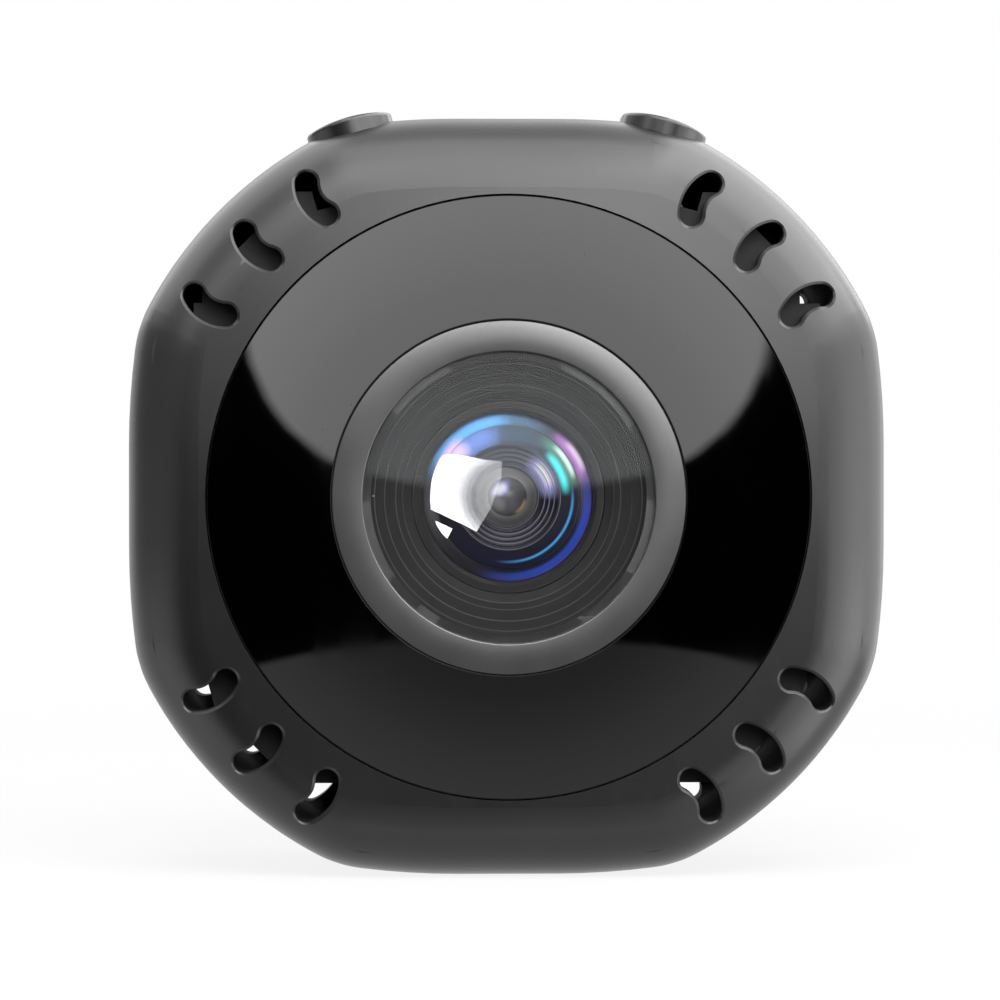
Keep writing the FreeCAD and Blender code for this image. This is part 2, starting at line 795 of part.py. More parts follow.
def ir_leds():
    """Infrared lamps with domed tips."""
    lamps = []
    for x, z in led_places():
        lamp = disc(led_radius, led_board_front - led_height, led_board_front, x, z)
        lamps.append(lamp.makeFillet(led_radius * 0.6, edges_at(lamp, led_board_front - led_height)))
    return Part.makeCompound(lamps)


def light_sensor():
    """Small round daylight sensor."""
    return disc(eye_radius, led_board_front - eye_height, led_board_front, *eye_place())


def led_ribbon():
    """Flat cable from the lamp board through the frame to the main board."""
    half = ribbon_width / 2
    top = -led_circle + ribbon_thickness
    low = -led_circle - ribbon_flap
    ribbon = block((-half, half), (led_board_back, led_board_back + ribbon_thickness), (low, top))
    run = block((-half, half), (led_board_back, board_front), (-led_circle, top))
    flap = block((-half, half), (board_front - ribbon_thickness, board_front), (low, top))
    return ribbon.fuse(run).fuse(flap).removeSplitter()


def frame_outline(inset):
    """Corners of the inner frame as seen from the front, drawn in by an inset, as (x, z)."""
    side = frame_side - inset
    top = frame_top - inset
    foot = -(frame_foot - inset)
    root_two = math.sqrt(2)
    upper = (inner_corner - frame_upper_cut_gap - inset) * root_two
    lower = (inner_corner - frame_lower_cut_gap - inset) * root_two
    step = frame_step_height - inset
    right = side - frame_right_step
    left = side - frame_left_step
    return [(upper - top, top), (right, upper - right), (right, step), (side, step),
            (side, -frame_taper_height),
            (right, right - lower), (lower + foot, foot),
            (-lower - foot, foot), (-right, right - lower), (-side, -frame_taper_height), (-side, step),
            (-left, step), (-left, upper - left), (top - upper, top)]


def frame_prism(inset, y_front, y_back):
    """Inner frame's outline as a solid between two depths."""
    points = [Vector(x, y_front, z) for x, z in frame_outline(inset)]
    return Part.Face(Part.makePolygon(points + points[:1])).extrude(Vector(0, y_back - y_front, 0))


def mid_frame():
    """Tray that carries the boards and switches: front plate, rim, posts and tilted switch pads."""
    frame = frame_prism(0.0, frame_front, board_back)
    frame = frame.cut(frame_prism(frame_wall, frame_inside, board_back + overrun))
    tail_front = board_front - flex_thickness - tail_gap / 2
    for side in (1, -1):
        pad = in_button_frame(pad_half, (frame_front, tail_front), (flex_bottom - pad_thickness, flex_bottom))
        frame = frame.fuse(on_button(pad, side).common(prism(side_wall + tail_gap, frame_front, board_back)))
    for side in (1, -1):
        clear = in_button_frame(pad_half + tail_gap, (frame_front - overrun, board_back + overrun),
                                (flex_bottom, overrun))
        tail = in_button_frame(flex_tail_width / 2 + tail_gap, (tail_front, board_back + overrun),
                               (flex_bottom - flex_tail_drop - tail_gap, overrun))
        frame = frame.cut(on_button(clear.fuse(tail), side))
    frame = frame.cut(disc(barrel_radius + frame_barrel_gap, frame_front, frame_inside))
    for x, z in post_places(case_post_x, case_post_z):
        frame = frame.fuse(disc(post_radius, frame_inside - frame_plate / 2, board_front, x, z))
    for x, z in post_places(case_post_x, case_post_z):
        pilot_end = case_head_seat() - case_screw_length - screw_gap
        frame = frame.cut(disc(screw_shaft + screw_pilot_fit, pilot_end, board_front, x, z))
    for x, z in post_places(frame_post_x, frame_post_z):
        frame = frame.cut(disc(small_shaft + screw_gap, frame_front, frame_inside, x, z))
    slot_half = ribbon_width / 2 + ribbon_slot_gap
    slot = block((-slot_half, slot_half), (frame_front, frame_inside),
                 (-led_circle - ribbon_slot_gap, -led_circle + ribbon_thickness + ribbon_slot_gap))
    return frame.cut(slot)


def main_board():
    """Main circuit board inside the frame's rim."""
    board = frame_prism(frame_wall + board_gap, board_front, board_back)
    for x, z in post_places(case_post_x, case_post_z):
        board = board.cut(disc(screw_shaft + screw_gap, board_front, board_back, x, z))
    for z in (holder_screw_z, -holder_screw_z):
        board = board.cut(disc(small_shaft + screw_gap, board_front, board_back, 0, z))
    return board


def processor_chip():
    """Main processor on the back of the board."""
    return centred(chip_left + chip_side / 2, (board_back, board_back + chip_height), 0, chip_side, chip_side)


def wifi_module():
    """Shielded radio module beside the processor."""
    return centred(module_x, (board_back, board_back + module_thickness), 0, module_width, module_height)


def usb_body(width, height, x_inner, x_outer):
    """Rounded bar along X with the charging socket's section."""
    half = width / 2 - height / 2
    y = usb_middle
    edges = [
        Part.LineSegment(Vector(x_inner, y - height / 2, -half),
                         Vector(x_inner, y - height / 2, half)).toShape(),
        Part.Arc(Vector(x_inner, y - height / 2, half), Vector(x_inner, y, half + height / 2),
                 Vector(x_inner, y + height / 2, half)).toShape(),
        Part.LineSegment(Vector(x_inner, y + height / 2, half),
                         Vector(x_inner, y + height / 2, -half)).toShape(),
        Part.Arc(Vector(x_inner, y + height / 2, -half), Vector(x_inner, y, -half - height / 2),
                 Vector(x_inner, y - height / 2, -half)).toShape(),
    ]
    return Part.Face(Part.Wire(edges)).extrude(Vector(x_outer - x_inner, 0, 0))


def usb_shell():
    """Metal shell of the charging socket."""
    shell = usb_body(usb_width, usb_height, usb_back, usb_mouth)
    inside = usb_body(usb_width - 2 * usb_wall, usb_height - 2 * usb_wall, usb_back + usb_wall,
                      usb_mouth + overrun)
    return shell.cut(inside)


def usb_tongue():
    """Contact tongue inside the charging socket."""
    back = usb_back + usb_wall
    half = usb_tongue_thickness / 2
    return block((back, back + usb_tongue_length), (usb_middle - half, usb_middle + half),
                 (-usb_tongue_width / 2, usb_tongue_width / 2))


def card_socket():
    """Memory card socket with its slot towards the left side."""
    socket = block((card_mouth, card_back), (board_back, board_back + card_thickness),
                   (-card_width / 2, card_width / 2))
    slot_half = card_thickness / 2 - card_lid
    slot = block((card_mouth - overrun, card_back - 3 * card_lid),
                 (card_middle() - slot_half, card_middle() + slot_half),
                 (-card_opening_width / 2, card_opening_width / 2))
    return socket.cut(slot)


def status_led():
    """Small status lamp on the back of the board."""
    return centred(lamp_x, (board_back, board_back + lamp_height), lamp_z, lamp_side, lamp_side)


def light_pipe():
    """Clear rod from the status lamp to the back of the housing."""
    return disc(pipe_radius, board_back + lamp_height + pipe_gap, back_y, lamp_x, lamp_z)


def battery():
    """Flat pouch cell with rounded long edges."""
    cell = centred(0, (battery_front, battery_back), 0, battery_width, battery_height)
    long_edges = [edge for edge in cell.Edges if edge.BoundBox.ZLength > battery_height * 0.9]
    return cell.makeFillet((battery_back - battery_front - battery_edge_flat) / 2, long_edges)


def battery_tape():
    """Adhesive sheet between the cell and the back wall."""
    return centred(0, (battery_back, cavity_back), 0, battery_width - 2 * tape_margin,
                   battery_height - 2 * tape_margin)


def connector_top():
    """Height of the battery connector's upper side."""
    return -(holder_screw_z + small_head + connector_gap)


def battery_connector():
    """White connector on the board for the cell's leads."""
    top = connector_top()
    return block((-connector_width / 2, connector_width / 2), (board_back, board_back + connector_thickness),
                 (top - connector_height, top))


def battery_lead(side):
    """One lead from the cell's lower edge, down and forward into the connector."""
    x = side * lead_half_pitch
    y_cell = battery_front + lead_depth
    z_turn = connector_top() - connector_height / 2
    y_end = board_back + connector_thickness
    start = Vector(x, y_cell, -battery_height / 2)
    bend_start = Vector(x, y_cell, z_turn + lead_bend)
    slack = lead_bend * (1 - math.sqrt(0.5))
    bend_middle = Vector(x, y_cell - slack, z_turn + slack)
    bend_end = Vector(x, y_cell - lead_bend, z_turn)
    path = Part.Wire([Part.LineSegment(start, bend_start).toShape(),
                      Part.Arc(bend_start, bend_middle, bend_end).toShape(),
                      Part.LineSegment(bend_end, Vector(x, y_end, z_turn)).toShape()])
    section = Part.Wire([Part.Circle(start, Vector(0, 0, 1), lead_radius).toShape()])
    return path.makePipeShell([section], True, False)


def magnet(side):
    """Disc magnet in its ring behind the back wall."""
    return disc(magnet_radius, cavity_back - magnet_thickness, cavity_back, 0, side * magnet_height)


def mic_capsule():
    """Microphone capsule standing on the frame."""
    return Part.makeCylinder(mic_radius, mic_height, Vector(0, mic_y, frame_top))


def mic_boot():
    """Rubber boot that seals the capsule to the pinhole in the top."""
    boot = Part.makeCylinder(mic_radius + boot_wall, inner_half - frame_top, Vector(0, mic_y, frame_top))
    boot = boot.cut(mic_capsule())
    return boot.cut(Part.makeCylinder(mic_hole_radius, inner_half - frame_top, Vector(0, mic_y, frame_top)))


def wifi_antenna():
    """Stuck-on antenna strip on the left side of the frame."""
    middle = (frame_front + board_front) / 2
    return block((-frame_side - antenna_thickness, -frame_side),
                 (middle - antenna_width / 2, middle + antenna_width / 2),
                 (-antenna_length / 2, antenna_length / 2))


def screw(x, z, seat, shaft, length, head, head_height):
    """Screw driven in from the back, with a cross recess."""
    body = disc(shaft, seat - length, seat, x, z).fuse(disc(head, seat, seat + head_height, x, z))
    arm = head * cross_length
    for width, height in ((2 * arm, cross_width), (cross_width, 2 * arm)):
        body = body.cut(centred(x, (seat + head_height - cross_depth, seat + head_height), z, width, height))
    return body.removeSplitter()


def case_screws():
    """Four long screws through the back shell and the board into the frame."""
    return Part.makeCompound([screw(x, z, case_head_seat(), screw_shaft, case_screw_length, screw_head,
                                    screw_head_height) for x, z in post_places(case_post_x, case_post_z)])


def frame_screws():
    """Four short screws that hold the frame to the front shell."""
    return Part.makeCompound([screw(x, z, frame_inside, small_shaft, frame_screw_length, small_head,
                                    small_head_height) for x, z in post_places(frame_post_x, frame_post_z)])


def holder_screws():
    """Two screws that hold the lens holder to the board."""
    return Part.makeCompound([screw(0, z, board_back, small_shaft, holder_screw_length, small_head,
                                    small_head_height) for z in (holder_screw_z, -holder_screw_z)])


def button_cap(side):
    """Crowned button head with its stem, snap hooks and pressing nub."""
    crown = Part.makeCylinder(button_crown, 2 * button_length,
                              Vector(0, -button_length, button_proud - button_crown), Vector(0, 1, 0))
    head = pill(button_width, button_length, head_bottom, button_proud + overrun).common(crown)
    rim = [edge for edge in head.Edges if edge.BoundBox.ZMin > 0]
    head = head.makeFillet(button_edge, rim)
    stem = pill(stem_width, stem_length, hook_bottom, head_bottom)
    hook_half = stem_length / 2 + hook_reach
    hooks = block((-stem_width / 4, stem_width / 4), (-hook_half, hook_half), (hook_bottom, hook_top))
    nub = Part.makeCylinder(nub_radius, nub_length, Vector(0, 0, nub_bottom))
    return on_button(head.fuse(stem).fuse(hooks).fuse(nub).removeSplitter(), side)


def switch_plunger(side):
    """Round plunger of the switch under the button."""
    bottom = switch_bottom + switch_floor + button_travel + plunger_fit
    return on_button(Part.makeCylinder(plunger_radius, plunger_top - bottom, Vector(0, 0, bottom)), side)


def switch_body(side):
    """Square switch with a blind bore for its plunger."""
    body = block((-switch_width / 2, switch_width / 2), (-switch_length / 2, switch_length / 2),
                 (switch_bottom, switch_top))
    bore = Part.makeCylinder(plunger_radius + plunger_fit, switch_height,
                             Vector(0, 0, switch_bottom + switch_floor))
    return on_button(body.cut(bore), side)


def switch_flex(side):
    """Flexible strip under the switch, folded down in front of the main board."""
    plate_range = (button_y - flex_length / 2, button_y + flex_length / 2)
    plate = in_button_frame(flex_width / 2, plate_range, (flex_bottom, switch_bottom))
    run = in_button_frame(flex_tail_width / 2, (button_y, board_front), (flex_bottom, switch_bottom))
    drop = in_button_frame(flex_tail_width / 2, (board_front - flex_thickness, board_front),
                           (flex_bottom - flex_tail_drop, switch_bottom))
    return on_button(plate.fuse(run).fuse(drop).removeSplitter(), side)


def pieces():
    """Every piece of the camera under its node's name."""
    made = {
        "front_shell": front_shell(),
        "rear_shell": rear_shell(),
        "front_panel": front_panel(),
        "panel_adhesive": panel_adhesive(),
        "lens_ring": lens_ring(),
        "lens_window": lens_window(),
        "lens_barrel": lens_barrel(),
        "lens_retainer": lens_retainer(),
        "front_lens": front_lens(),
        "lens_spacer": lens_spacer(),
        "second_lens": second_lens(),
        "rear_lens": rear_lens(),
        "lens_holder": lens_holder(),
        "ir_cut_filter": ir_cut_filter(),
        "image_sensor": image_sensor(),
        "led_board": led_board(),
        "ir_leds": ir_leds(),
        "light_sensor": light_sensor(),
        "led_ribbon": led_ribbon(),
        "mid_frame": mid_frame(),
        "main_board": main_board(),
        "processor_chip": processor_chip(),
        "wifi_module": wifi_module(),
        "usb_shell": usb_shell(),
        "usb_tongue": usb_tongue(),
        "card_socket": card_socket(),
        "status_led": status_led(),
        "light_pipe": light_pipe(),
        "battery": battery(),
        "battery_tape": battery_tape(),
        "battery_connector": battery_connector(),
        "battery_lead_red": battery_lead(1),
        "battery_lead_black": battery_lead(-1),
        "magnet_upper": magnet(1),
        "magnet_lower": magnet(-1),
        "mic_capsule": mic_capsule(),
        "mic_boot": mic_boot(),
        "wifi_antenna": wifi_antenna(),
        "case_screws": case_screws(),
        "frame_screws": frame_screws(),
        "holder_screws": holder_screws(),
    }
    for name, side in (("right", 1), ("left", -1)):
        made[name + "_button"] = button_cap(side)
        made[name + "_switch_plunger"] = switch_plunger(side)
        made[name + "_switch_body"] = switch_body(side)
        made[name + "_switch_flex"] = switch_flex(side)
    return made


def write_pieces():
    """Lift each piece so that the foot stands on Z = 0, and write it."""
    os.makedirs("parts", exist_ok=True)
    for name, shape in pieces().items():
        shape.translate(Vector(0, 0, face_half))
        shape.exportStep("parts/" + name + ".step")
        print(name, len(shape.Solids), shape.isValid(), round(shape.Volume, 2))


write_pieces()
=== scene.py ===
"""Mini security camera with two push buttons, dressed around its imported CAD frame."""

import logging
import math
from dataclasses import dataclass, field
from enum import Enum
from typing import Any, Sequence, Union

import bmesh
import bpy
from mathutils import Matrix, Vector


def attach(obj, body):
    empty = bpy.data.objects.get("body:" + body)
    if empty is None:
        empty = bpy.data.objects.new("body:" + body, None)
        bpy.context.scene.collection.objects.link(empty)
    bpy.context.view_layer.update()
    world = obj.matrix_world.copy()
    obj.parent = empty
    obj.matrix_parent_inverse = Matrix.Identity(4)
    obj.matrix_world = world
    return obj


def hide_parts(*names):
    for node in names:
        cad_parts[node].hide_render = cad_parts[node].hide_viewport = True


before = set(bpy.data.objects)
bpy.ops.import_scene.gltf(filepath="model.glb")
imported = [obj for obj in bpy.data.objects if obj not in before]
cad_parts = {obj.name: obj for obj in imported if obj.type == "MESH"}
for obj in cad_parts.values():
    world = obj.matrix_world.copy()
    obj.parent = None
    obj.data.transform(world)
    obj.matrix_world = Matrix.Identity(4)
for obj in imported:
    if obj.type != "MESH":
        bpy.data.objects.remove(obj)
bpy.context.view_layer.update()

MM = 0.001
AXIS_HEIGHT = 22.5 * MM
FACE_MM = -10.0
WHITE = (1.0, 1.0, 1.0, 1.0)
LOG = logging.getLogger("mini_camera")

Number = Union[int, float]
Colour = tuple[float, float, float]
Point = tuple[float, float, float]
Spot = tuple[float, float]


class Signal:
    """One value between nodes. Arithmetic on it adds Math nodes."""

    def __init__(self, graph: "Graph", socket: bpy.types.NodeSocket) -> None:
        """Keep the output socket that carries the value, and the graph that it belongs to."""
        self.graph = graph
        self.socket = socket

    def __add__(self, other: "Operand") -> "Signal":
        """Sum."""
        return self.graph.math("ADD", self, other)

    def __radd__(self, other: "Operand") -> "Signal":
        """Sum with a number on the left."""
        return self.graph.math("ADD", other, self)

    def __sub__(self, other: "Operand") -> "Signal":
        """Difference."""
        return self.graph.math("SUBTRACT", self, other)

    def __rsub__(self, other: "Operand") -> "Signal":
        """Difference with a number on the left."""
        return self.graph.math("SUBTRACT", other, self)

    def __mul__(self, other: "Operand") -> "Signal":
        """Product."""
        return self.graph.math("MULTIPLY", self, other)

    def __rmul__(self, other: "Operand") -> "Signal":
        """Product with a number on the left."""
        return self.graph.math("MULTIPLY", other, self)

    def __truediv__(self, other: "Operand") -> "Signal":
        """Quotient."""
        return self.graph.math("DIVIDE", self, other)

    def __pow__(self, other: "Operand") -> "Signal":
        """Power."""
        return self.graph.math("POWER", self, other)

    def sine(self) -> "Signal":
        """Sine of an angle in radians."""
        return self.graph.math("SINE", self)

    def clamped(self) -> "Signal":
        """Value held between 0 and 1."""
        return self.graph.math("MAXIMUM", self.graph.math("MINIMUM", self, 1.0), 0.0)

    def step(self, low: Number, high: Number) -> "Signal":
        """Smooth rise from 0 at one value to 1 at another.

        Args:
            low: Value at which the rise starts.
            high: Value at which it ends.

        Returns:
            The rising value.
        """
        node = self.graph.node("ShaderNodeMapRange", {"interpolation_type": "SMOOTHSTEP"},
                               {0: self, 1: low, 2: high, 3: 0.0, 4: 1.0})
        return self.graph.out(node, 0)

    def bell(self, middle: Number, width: Number) -> "Signal":
        """Smooth hump of height 1 around one value.

        Args:
            middle: Value at which the hump peaks.
            width: Distance from the peak to the foot on either side.

        Returns:
            The hump.
        """
        return self.step(middle - width, middle) * (1.0 - self.step(middle, middle + width))


Operand = Union[Signal, Number]


class Graph:
    """Adds nodes to one node tree."""

    def __init__(self, tree: bpy.types.NodeTree) -> None:
        """Keep the tree."""
        self.tree = tree

    def node(self, kind: str, settings: dict[str, Any] | None = None,
             inputs: dict[Union[str, int], Any] | None = None) -> bpy.types.Node:
        """Add a node, then its settings, then the values or links of its sockets.

        Args:
            kind: Blender's name of the node type.
            settings: Attributes that are set first.
            inputs: Values, Signals or sockets by input name or number.

        Returns:
            The new node.
        """
        node = self.tree.nodes.new(kind)
        for name, value in (settings or {}).items():
            setattr(node, name, value)
        for key, value in (inputs or {}).items():
            self.wire(node.inputs[key], value)
        return node

    def wire(self, target: bpy.types.NodeSocket, value: Any) -> None:
        """Link a Signal or socket to an input, or write a plain value in it."""
        if isinstance(value, Signal):
            self.tree.links.new(value.socket, target)
        elif isinstance(value, bpy.types.NodeSocket):
            self.tree.links.new(value, target)
        else:
            target.default_value = value

    def out(self, node: bpy.types.Node, key: Union[str, int] = 0) -> Signal:
        """Signal of one output of a node."""
        return Signal(self, node.outputs[key])

    def math(self, operation: str, *values: Operand) -> Signal:
        """Add a Math node and return its result."""
        return self.out(self.node("ShaderNodeMath", {"operation": operation}, dict(enumerate(values))))

    def vector_math(self, operation: str, *values: Any) -> Signal:
        """Add a Vector Math node and return its vector."""
        return self.out(self.node("ShaderNodeVectorMath", {"operation": operation}, dict(enumerate(values))))

    def split(self, vector: Signal) -> tuple[Signal, Signal, Signal]:
        """Parts of a vector along X, Y and Z."""
        node = self.node("ShaderNodeSeparateXYZ", None, {0: vector})
        return self.out(node, 0), self.out(node, 1), self.out(node, 2)

    def join(self, *parts: Operand) -> Signal:
        """Vector from its parts along X, Y and Z."""
        return self.out(self.node("ShaderNodeCombineXYZ", None, dict(enumerate(parts))))


class Shader(Graph):
    """Node tree of one material, with the patterns that the finishes share."""

    def __init__(self, name: str) -> None:
        """Start an empty material of that name."""
        self.material = bpy.data.materials.new(name)
        self.material.use_nodes = True
        super().__init__(self.material.node_tree)
        self.tree.nodes.clear()
        self.output = self.node("ShaderNodeOutputMaterial")
        self.position = self.out(self.node("ShaderNodeTexCoord"), "Object")

    def axes(self) -> tuple[Signal, Signal, Signal]:
        """Object coordinates as three separate values, in metres."""
        return self.split(self.position)

    def polar(self, x0: float = 0.0, z0: float = AXIS_HEIGHT) -> tuple[Signal, Signal]:
        """Distance and angle about a line along Y.

        Args:
            x0: Place of the line in X, in metres.
            z0: Place of the line in Z, in metres.

        Returns:
            Distance in metres, and the angle from +X towards +Z in radians.
        """
        x, _, z = self.axes()
        across, up = x - x0, z - z0
        reach = self.math("SQRT", across * across + up * up)
        return reach, self.math("ARCTAN2", up, across)

    def noise(self, size_mm: float, detail: float = 3.0, stretch: Point = (1.0, 1.0, 1.0),
              distortion: float = 0.0) -> Signal:
        """Noise with a mean of about one half.

        Args:
            size_mm: Size of its largest features.
            detail: Octaves of finer features.
            stretch: Factors on the three coordinates, for streaks.
            distortion: How far the pattern is warped.

        Returns:
            The noise value.
        """
        scaled = self.vector_math("MULTIPLY", self.position, stretch)
        node = self.node("ShaderNodeTexNoise", None, {
            "Vector": scaled, "Scale": 1.0 / (size_mm * MM), "Detail": detail,
            "Roughness": 0.55, "Distortion": distortion})
        return self.out(node, 0)

    def cells(self, size_mm: float, spread: float = 1.0) -> Signal:
        """Distance to the nearest of many scattered points.

        Args:
            size_mm: Mean distance between the points.
            spread: How irregularly they lie, from 0 to 1.

        Returns:
            The distance, in cell sizes.
        """
        node = self.node("ShaderNodeTexVoronoi", None, {
            "Vector": self.position, "Scale": 1.0 / (size_mm * MM), "Randomness": spread})
        return self.out(node, 0)

    def blend(self, factor: Operand, first: Any, second: Any, mode: str = "MIX") -> Signal:
        """Colour mixed from two.

        Args:
            factor: Share of the second colour.
            first: Colour or Signal at factor 0.
            second: Colour or Signal at factor 1.
            mode: Blender's name of the blend.

        Returns:
            The mixed colour.
        """
        def full(colour: Any) -> Any:
            """Colour with its alpha, or the Signal as it is."""
            return colour if isinstance(colour, Signal) else (*colour, 1.0)

        node = self.node("ShaderNodeMix", {"data_type": "RGBA", "blend_type": mode},
                         {0: factor, 6: full(first), 7: full(second)})
        return self.out(node, 2)

    def bump(self, height: Signal, depth_mm: float, normal: Signal | None = None) -> Signal:
        """Normal that follows a height pattern.

        Args:
            height: Pattern from 0 to 1.
            depth_mm: Real height of the pattern.
            normal: Normal of a coarser bump under this one.

        Returns:
            The bent normal.
        """
        inputs: dict[Union[str, int], Any] = {"Height": height, "Distance": depth_mm * MM, "Strength": 1.0}
        if normal is not None:
            inputs["Normal"] = normal
        return self.out(self.node("ShaderNodeBump", None, inputs))

    def principled(self, **sockets: Any) -> bpy.types.Node:
        """Add a Principled shader, with sockets named with underscores for spaces."""
        inputs = {name.replace("_", " "): value for name, value in sockets.items()}
        for name, value in inputs.items():
            if name.endswith(("Color", "Tint")) and not isinstance(value, Signal):
                inputs[name] = (*value, 1.0)
        return self.node("ShaderNodeBsdfPrincipled", None, inputs)

    def emission(self, strength: Operand) -> bpy.types.Node:
        """Add a white light-giving shader."""
        return self.node("ShaderNodeEmission", None, {"Color": WHITE, "Strength": strength})

    def finish(self, shader: bpy.types.Node) -> bpy.types.Material:
        """Send a shader to the output and return the material."""
        self.tree.links.new(shader.outputs[0], self.output.inputs["Surface"])
        return self.material


def lighter(colour: Colour, share: float) -> Colour:
    """Colour moved towards white by a share."""
    return tuple(part + (1.0 - part) * share for part in colour)


def darker(colour: Colour, share: float) -> Colour:
    """Colour moved towards black by a share."""
    return tuple(part * (1.0 - share) for part in colour)


class Finish:
    """Look of a piece. Each kind paints its own shader."""

    def material(self, name: str) -> bpy.types.Material:
        """Build the finish.

        Args:
            name: Name of the material.

        Returns:
            The material.
        """
        shader = Shader(name)
        return shader.finish(self.paint(shader))

    def paint(self, shader: Shader) -> bpy.types.Node:
        """Add the nodes of the finish and return the last one."""
        raise NotImplementedError


@dataclass(frozen=True)
class Moulded(Finish):
    """Moulded plastic or rubber: spark-eroded grain, cloudy tone and a few rubbed spots."""

    colour: Colour
    roughness: float = 0.45
    specular: float = 0.5
    grain_mm: float = 0.16
    grain_depth_mm: float = 0.004
    mottle: float = 0.03
    rub: float = 0.02
    rub_roughness: float = 0.04

    def skin(self, shader: Shader) -> tuple[Signal, Signal, Signal]:
        """Patterns of the grained surface.

        Args:
            shader: Tree of the finish.

        Returns:
            Tone, roughness and height.
        """
        cloud = shader.noise(7.0, 4.0)
        grain = shader.noise(self.grain_mm, 2.0)
        pits = shader.cells(self.grain_mm * 1.7).step(0.1, 0.5)
        rubbed = shader.noise(2.2, 5.0, (1.0, 0.35, 0.35)).step(0.6, 0.8)
        tone = shader.blend(cloud * self.mottle, self.colour, lighter(self.colour, 0.5))
        tone = shader.blend(rubbed * self.rub, tone, lighter(self.colour, 0.35))
        rough = self.roughness - 0.06 + grain * 0.08 + cloud * 0.04 + rubbed * self.rub_roughness
        return tone, rough, grain * 0.7 + pits * 0.3

    def paint(self, shader: Shader) -> bpy.types.Node:
        """Add the nodes of the finish and return the last one."""
        tone, rough, height = self.skin(shader)
        normal = shader.bump(height, self.grain_depth_mm)
        return shader.principled(
            Base_Color=tone, Roughness=rough, Normal=normal, Specular_IOR_Level=self.specular)


@dataclass(frozen=True)
class Casing(Moulded):
    """Moulded housing: satin outside with a fine grain and rubbed spots; inside its walls rougher and
    darkened by painted shade.
    """

    grain_mm: float = 0.14
    grain_depth_mm: float = 0.0012
    rub: float = 0.01
    rub_roughness: float = 0.03
    inner_half_mm: float = 21.0
    inner_reach_mm: float = 24.2
    inner_front_mm: float = -8.7
    inner_back_mm: float = 8.6
    fade_mm: float = 0.1
    skin_reach_mm: tuple[float, float] = (22.6, 22.8)
    skin_outward: tuple[float, float] = (0.3, 0.6)
    front_facing: tuple[float, float] = (0.15, 0.4)
    inside_painted_shade: float = 0.6
    inner_roughness: float = 0.5
    crown: float = 0.11
    crown_power: float = 4.0

    def inside(self, shader: Shader, parts: tuple[Signal, Signal, Signal], facing: Signal) -> Signal:
        """How far a surface counts as the inside of a wall, where painted shade darkens it.

        Args:
            shader: Tree of the finish.
            parts: Surface normal along X, Y and Z.
            facing: How squarely the surface faces the front, from 0 to 1.

        Returns:
            Share from 0 to 1.
        """
        x, y, z = shader.axes()
        up = z - AXIS_HEIGHT
        reach, _ = shader.polar()
        fade, half, far = self.fade_mm * MM, self.inner_half_mm * MM, self.inner_reach_mm * MM
        front, back = self.inner_front_mm * MM, self.inner_back_mm * MM
        across = shader.math("MAXIMUM", shader.math("ABSOLUTE", x), shader.math("ABSOLUTE", up))
        outward = (x * parts[0] + up * parts[2]) / reach
        skin = outward.step(*self.skin_outward) * reach.step(*(edge * MM for edge in self.skin_reach_mm))
        within = (1.0 - across.step(half - fade, half)) * (1.0 - skin) * (1.0 - reach.step(far - fade, far))
        deep = y.step(front - fade, front) + (1.0 - facing.step(*self.front_facing))
        return within * deep.clamped() * (1.0 - y.step(back, back + fade))

    def crowned(self, shader: Shader, normal: Signal, facing: Signal) -> Signal:
        """Surface normal that leans outwards over the front face, as on a slightly crowned moulding.

        Args:
            shader: Tree of the finish.
            normal: Surface normal.
            facing: How squarely the surface faces the front, from 0 to 1.

        Returns:
            The leaning normal.
        """
        x, _, z = shader.axes()
        reach, _ = shader.polar()
        lean = facing ** self.crown_power * self.crown / reach
        out = shader.join(x * lean, 0.0, (z - AXIS_HEIGHT) * lean)
        return shader.vector_math("NORMALIZE", shader.vector_math("ADD", normal, out))

    def paint(self, shader: Shader) -> bpy.types.Node:
        """Add the nodes of the finish and return the last one."""
        normal = shader.out(shader.node("ShaderNodeNewGeometry"), "Normal")
        parts = shader.split(normal)
        facing = (parts[1] * -1.0).clamped()
        inside = self.inside(shader, parts, facing)
        tone, rough, height = self.skin(shader)
        # Painted shade: the inside of the walls is darkened as if in shadow.
        tone = shader.blend(inside * self.inside_painted_shade, tone, darker(self.colour, 0.8))
        bent = shader.bump(height, self.grain_depth_mm, self.crowned(shader, normal, facing))
        return shader.principled(
            Base_Color=tone, Roughness=rough + inside * self.inner_roughness, Normal=bent,
            Specular_IOR_Level=self.specular)


@dataclass(frozen=True)
class Gloss(Finish):
    """Polished black plastic or acrylic: faint wipe marks, specks of dust and a hint of ripple."""

    colour: Colour
    roughness: float = 0.03
    smear: float = 0.03
    ripple_mm: float = 0.0004
    dust: float = 0.25

    def paint(self, shader: Shader) -> bpy.types.Node:
        """Add the nodes of the finish and return the last one."""
        wipe = shader.noise(5.0, 4.0, (1.0, 1.0, 0.4), 0.4)
        specks = 1.0 - shader.cells(1.7).step(0.012, 0.03)
        kept = shader.noise(4.0, 1.0).step(0.5, 0.62)
        dust = specks * kept * self.dust
        tone = shader.blend(dust, self.colour, (0.35, 0.34, 0.33))
        rough = self.roughness + wipe.step(0.45, 0.75) * self.smear + dust
        normal = shader.bump(shader.noise(6.0, 1.0), self.ripple_mm)
        return shader.principled(Base_Color=tone, Roughness=rough, Normal=normal)


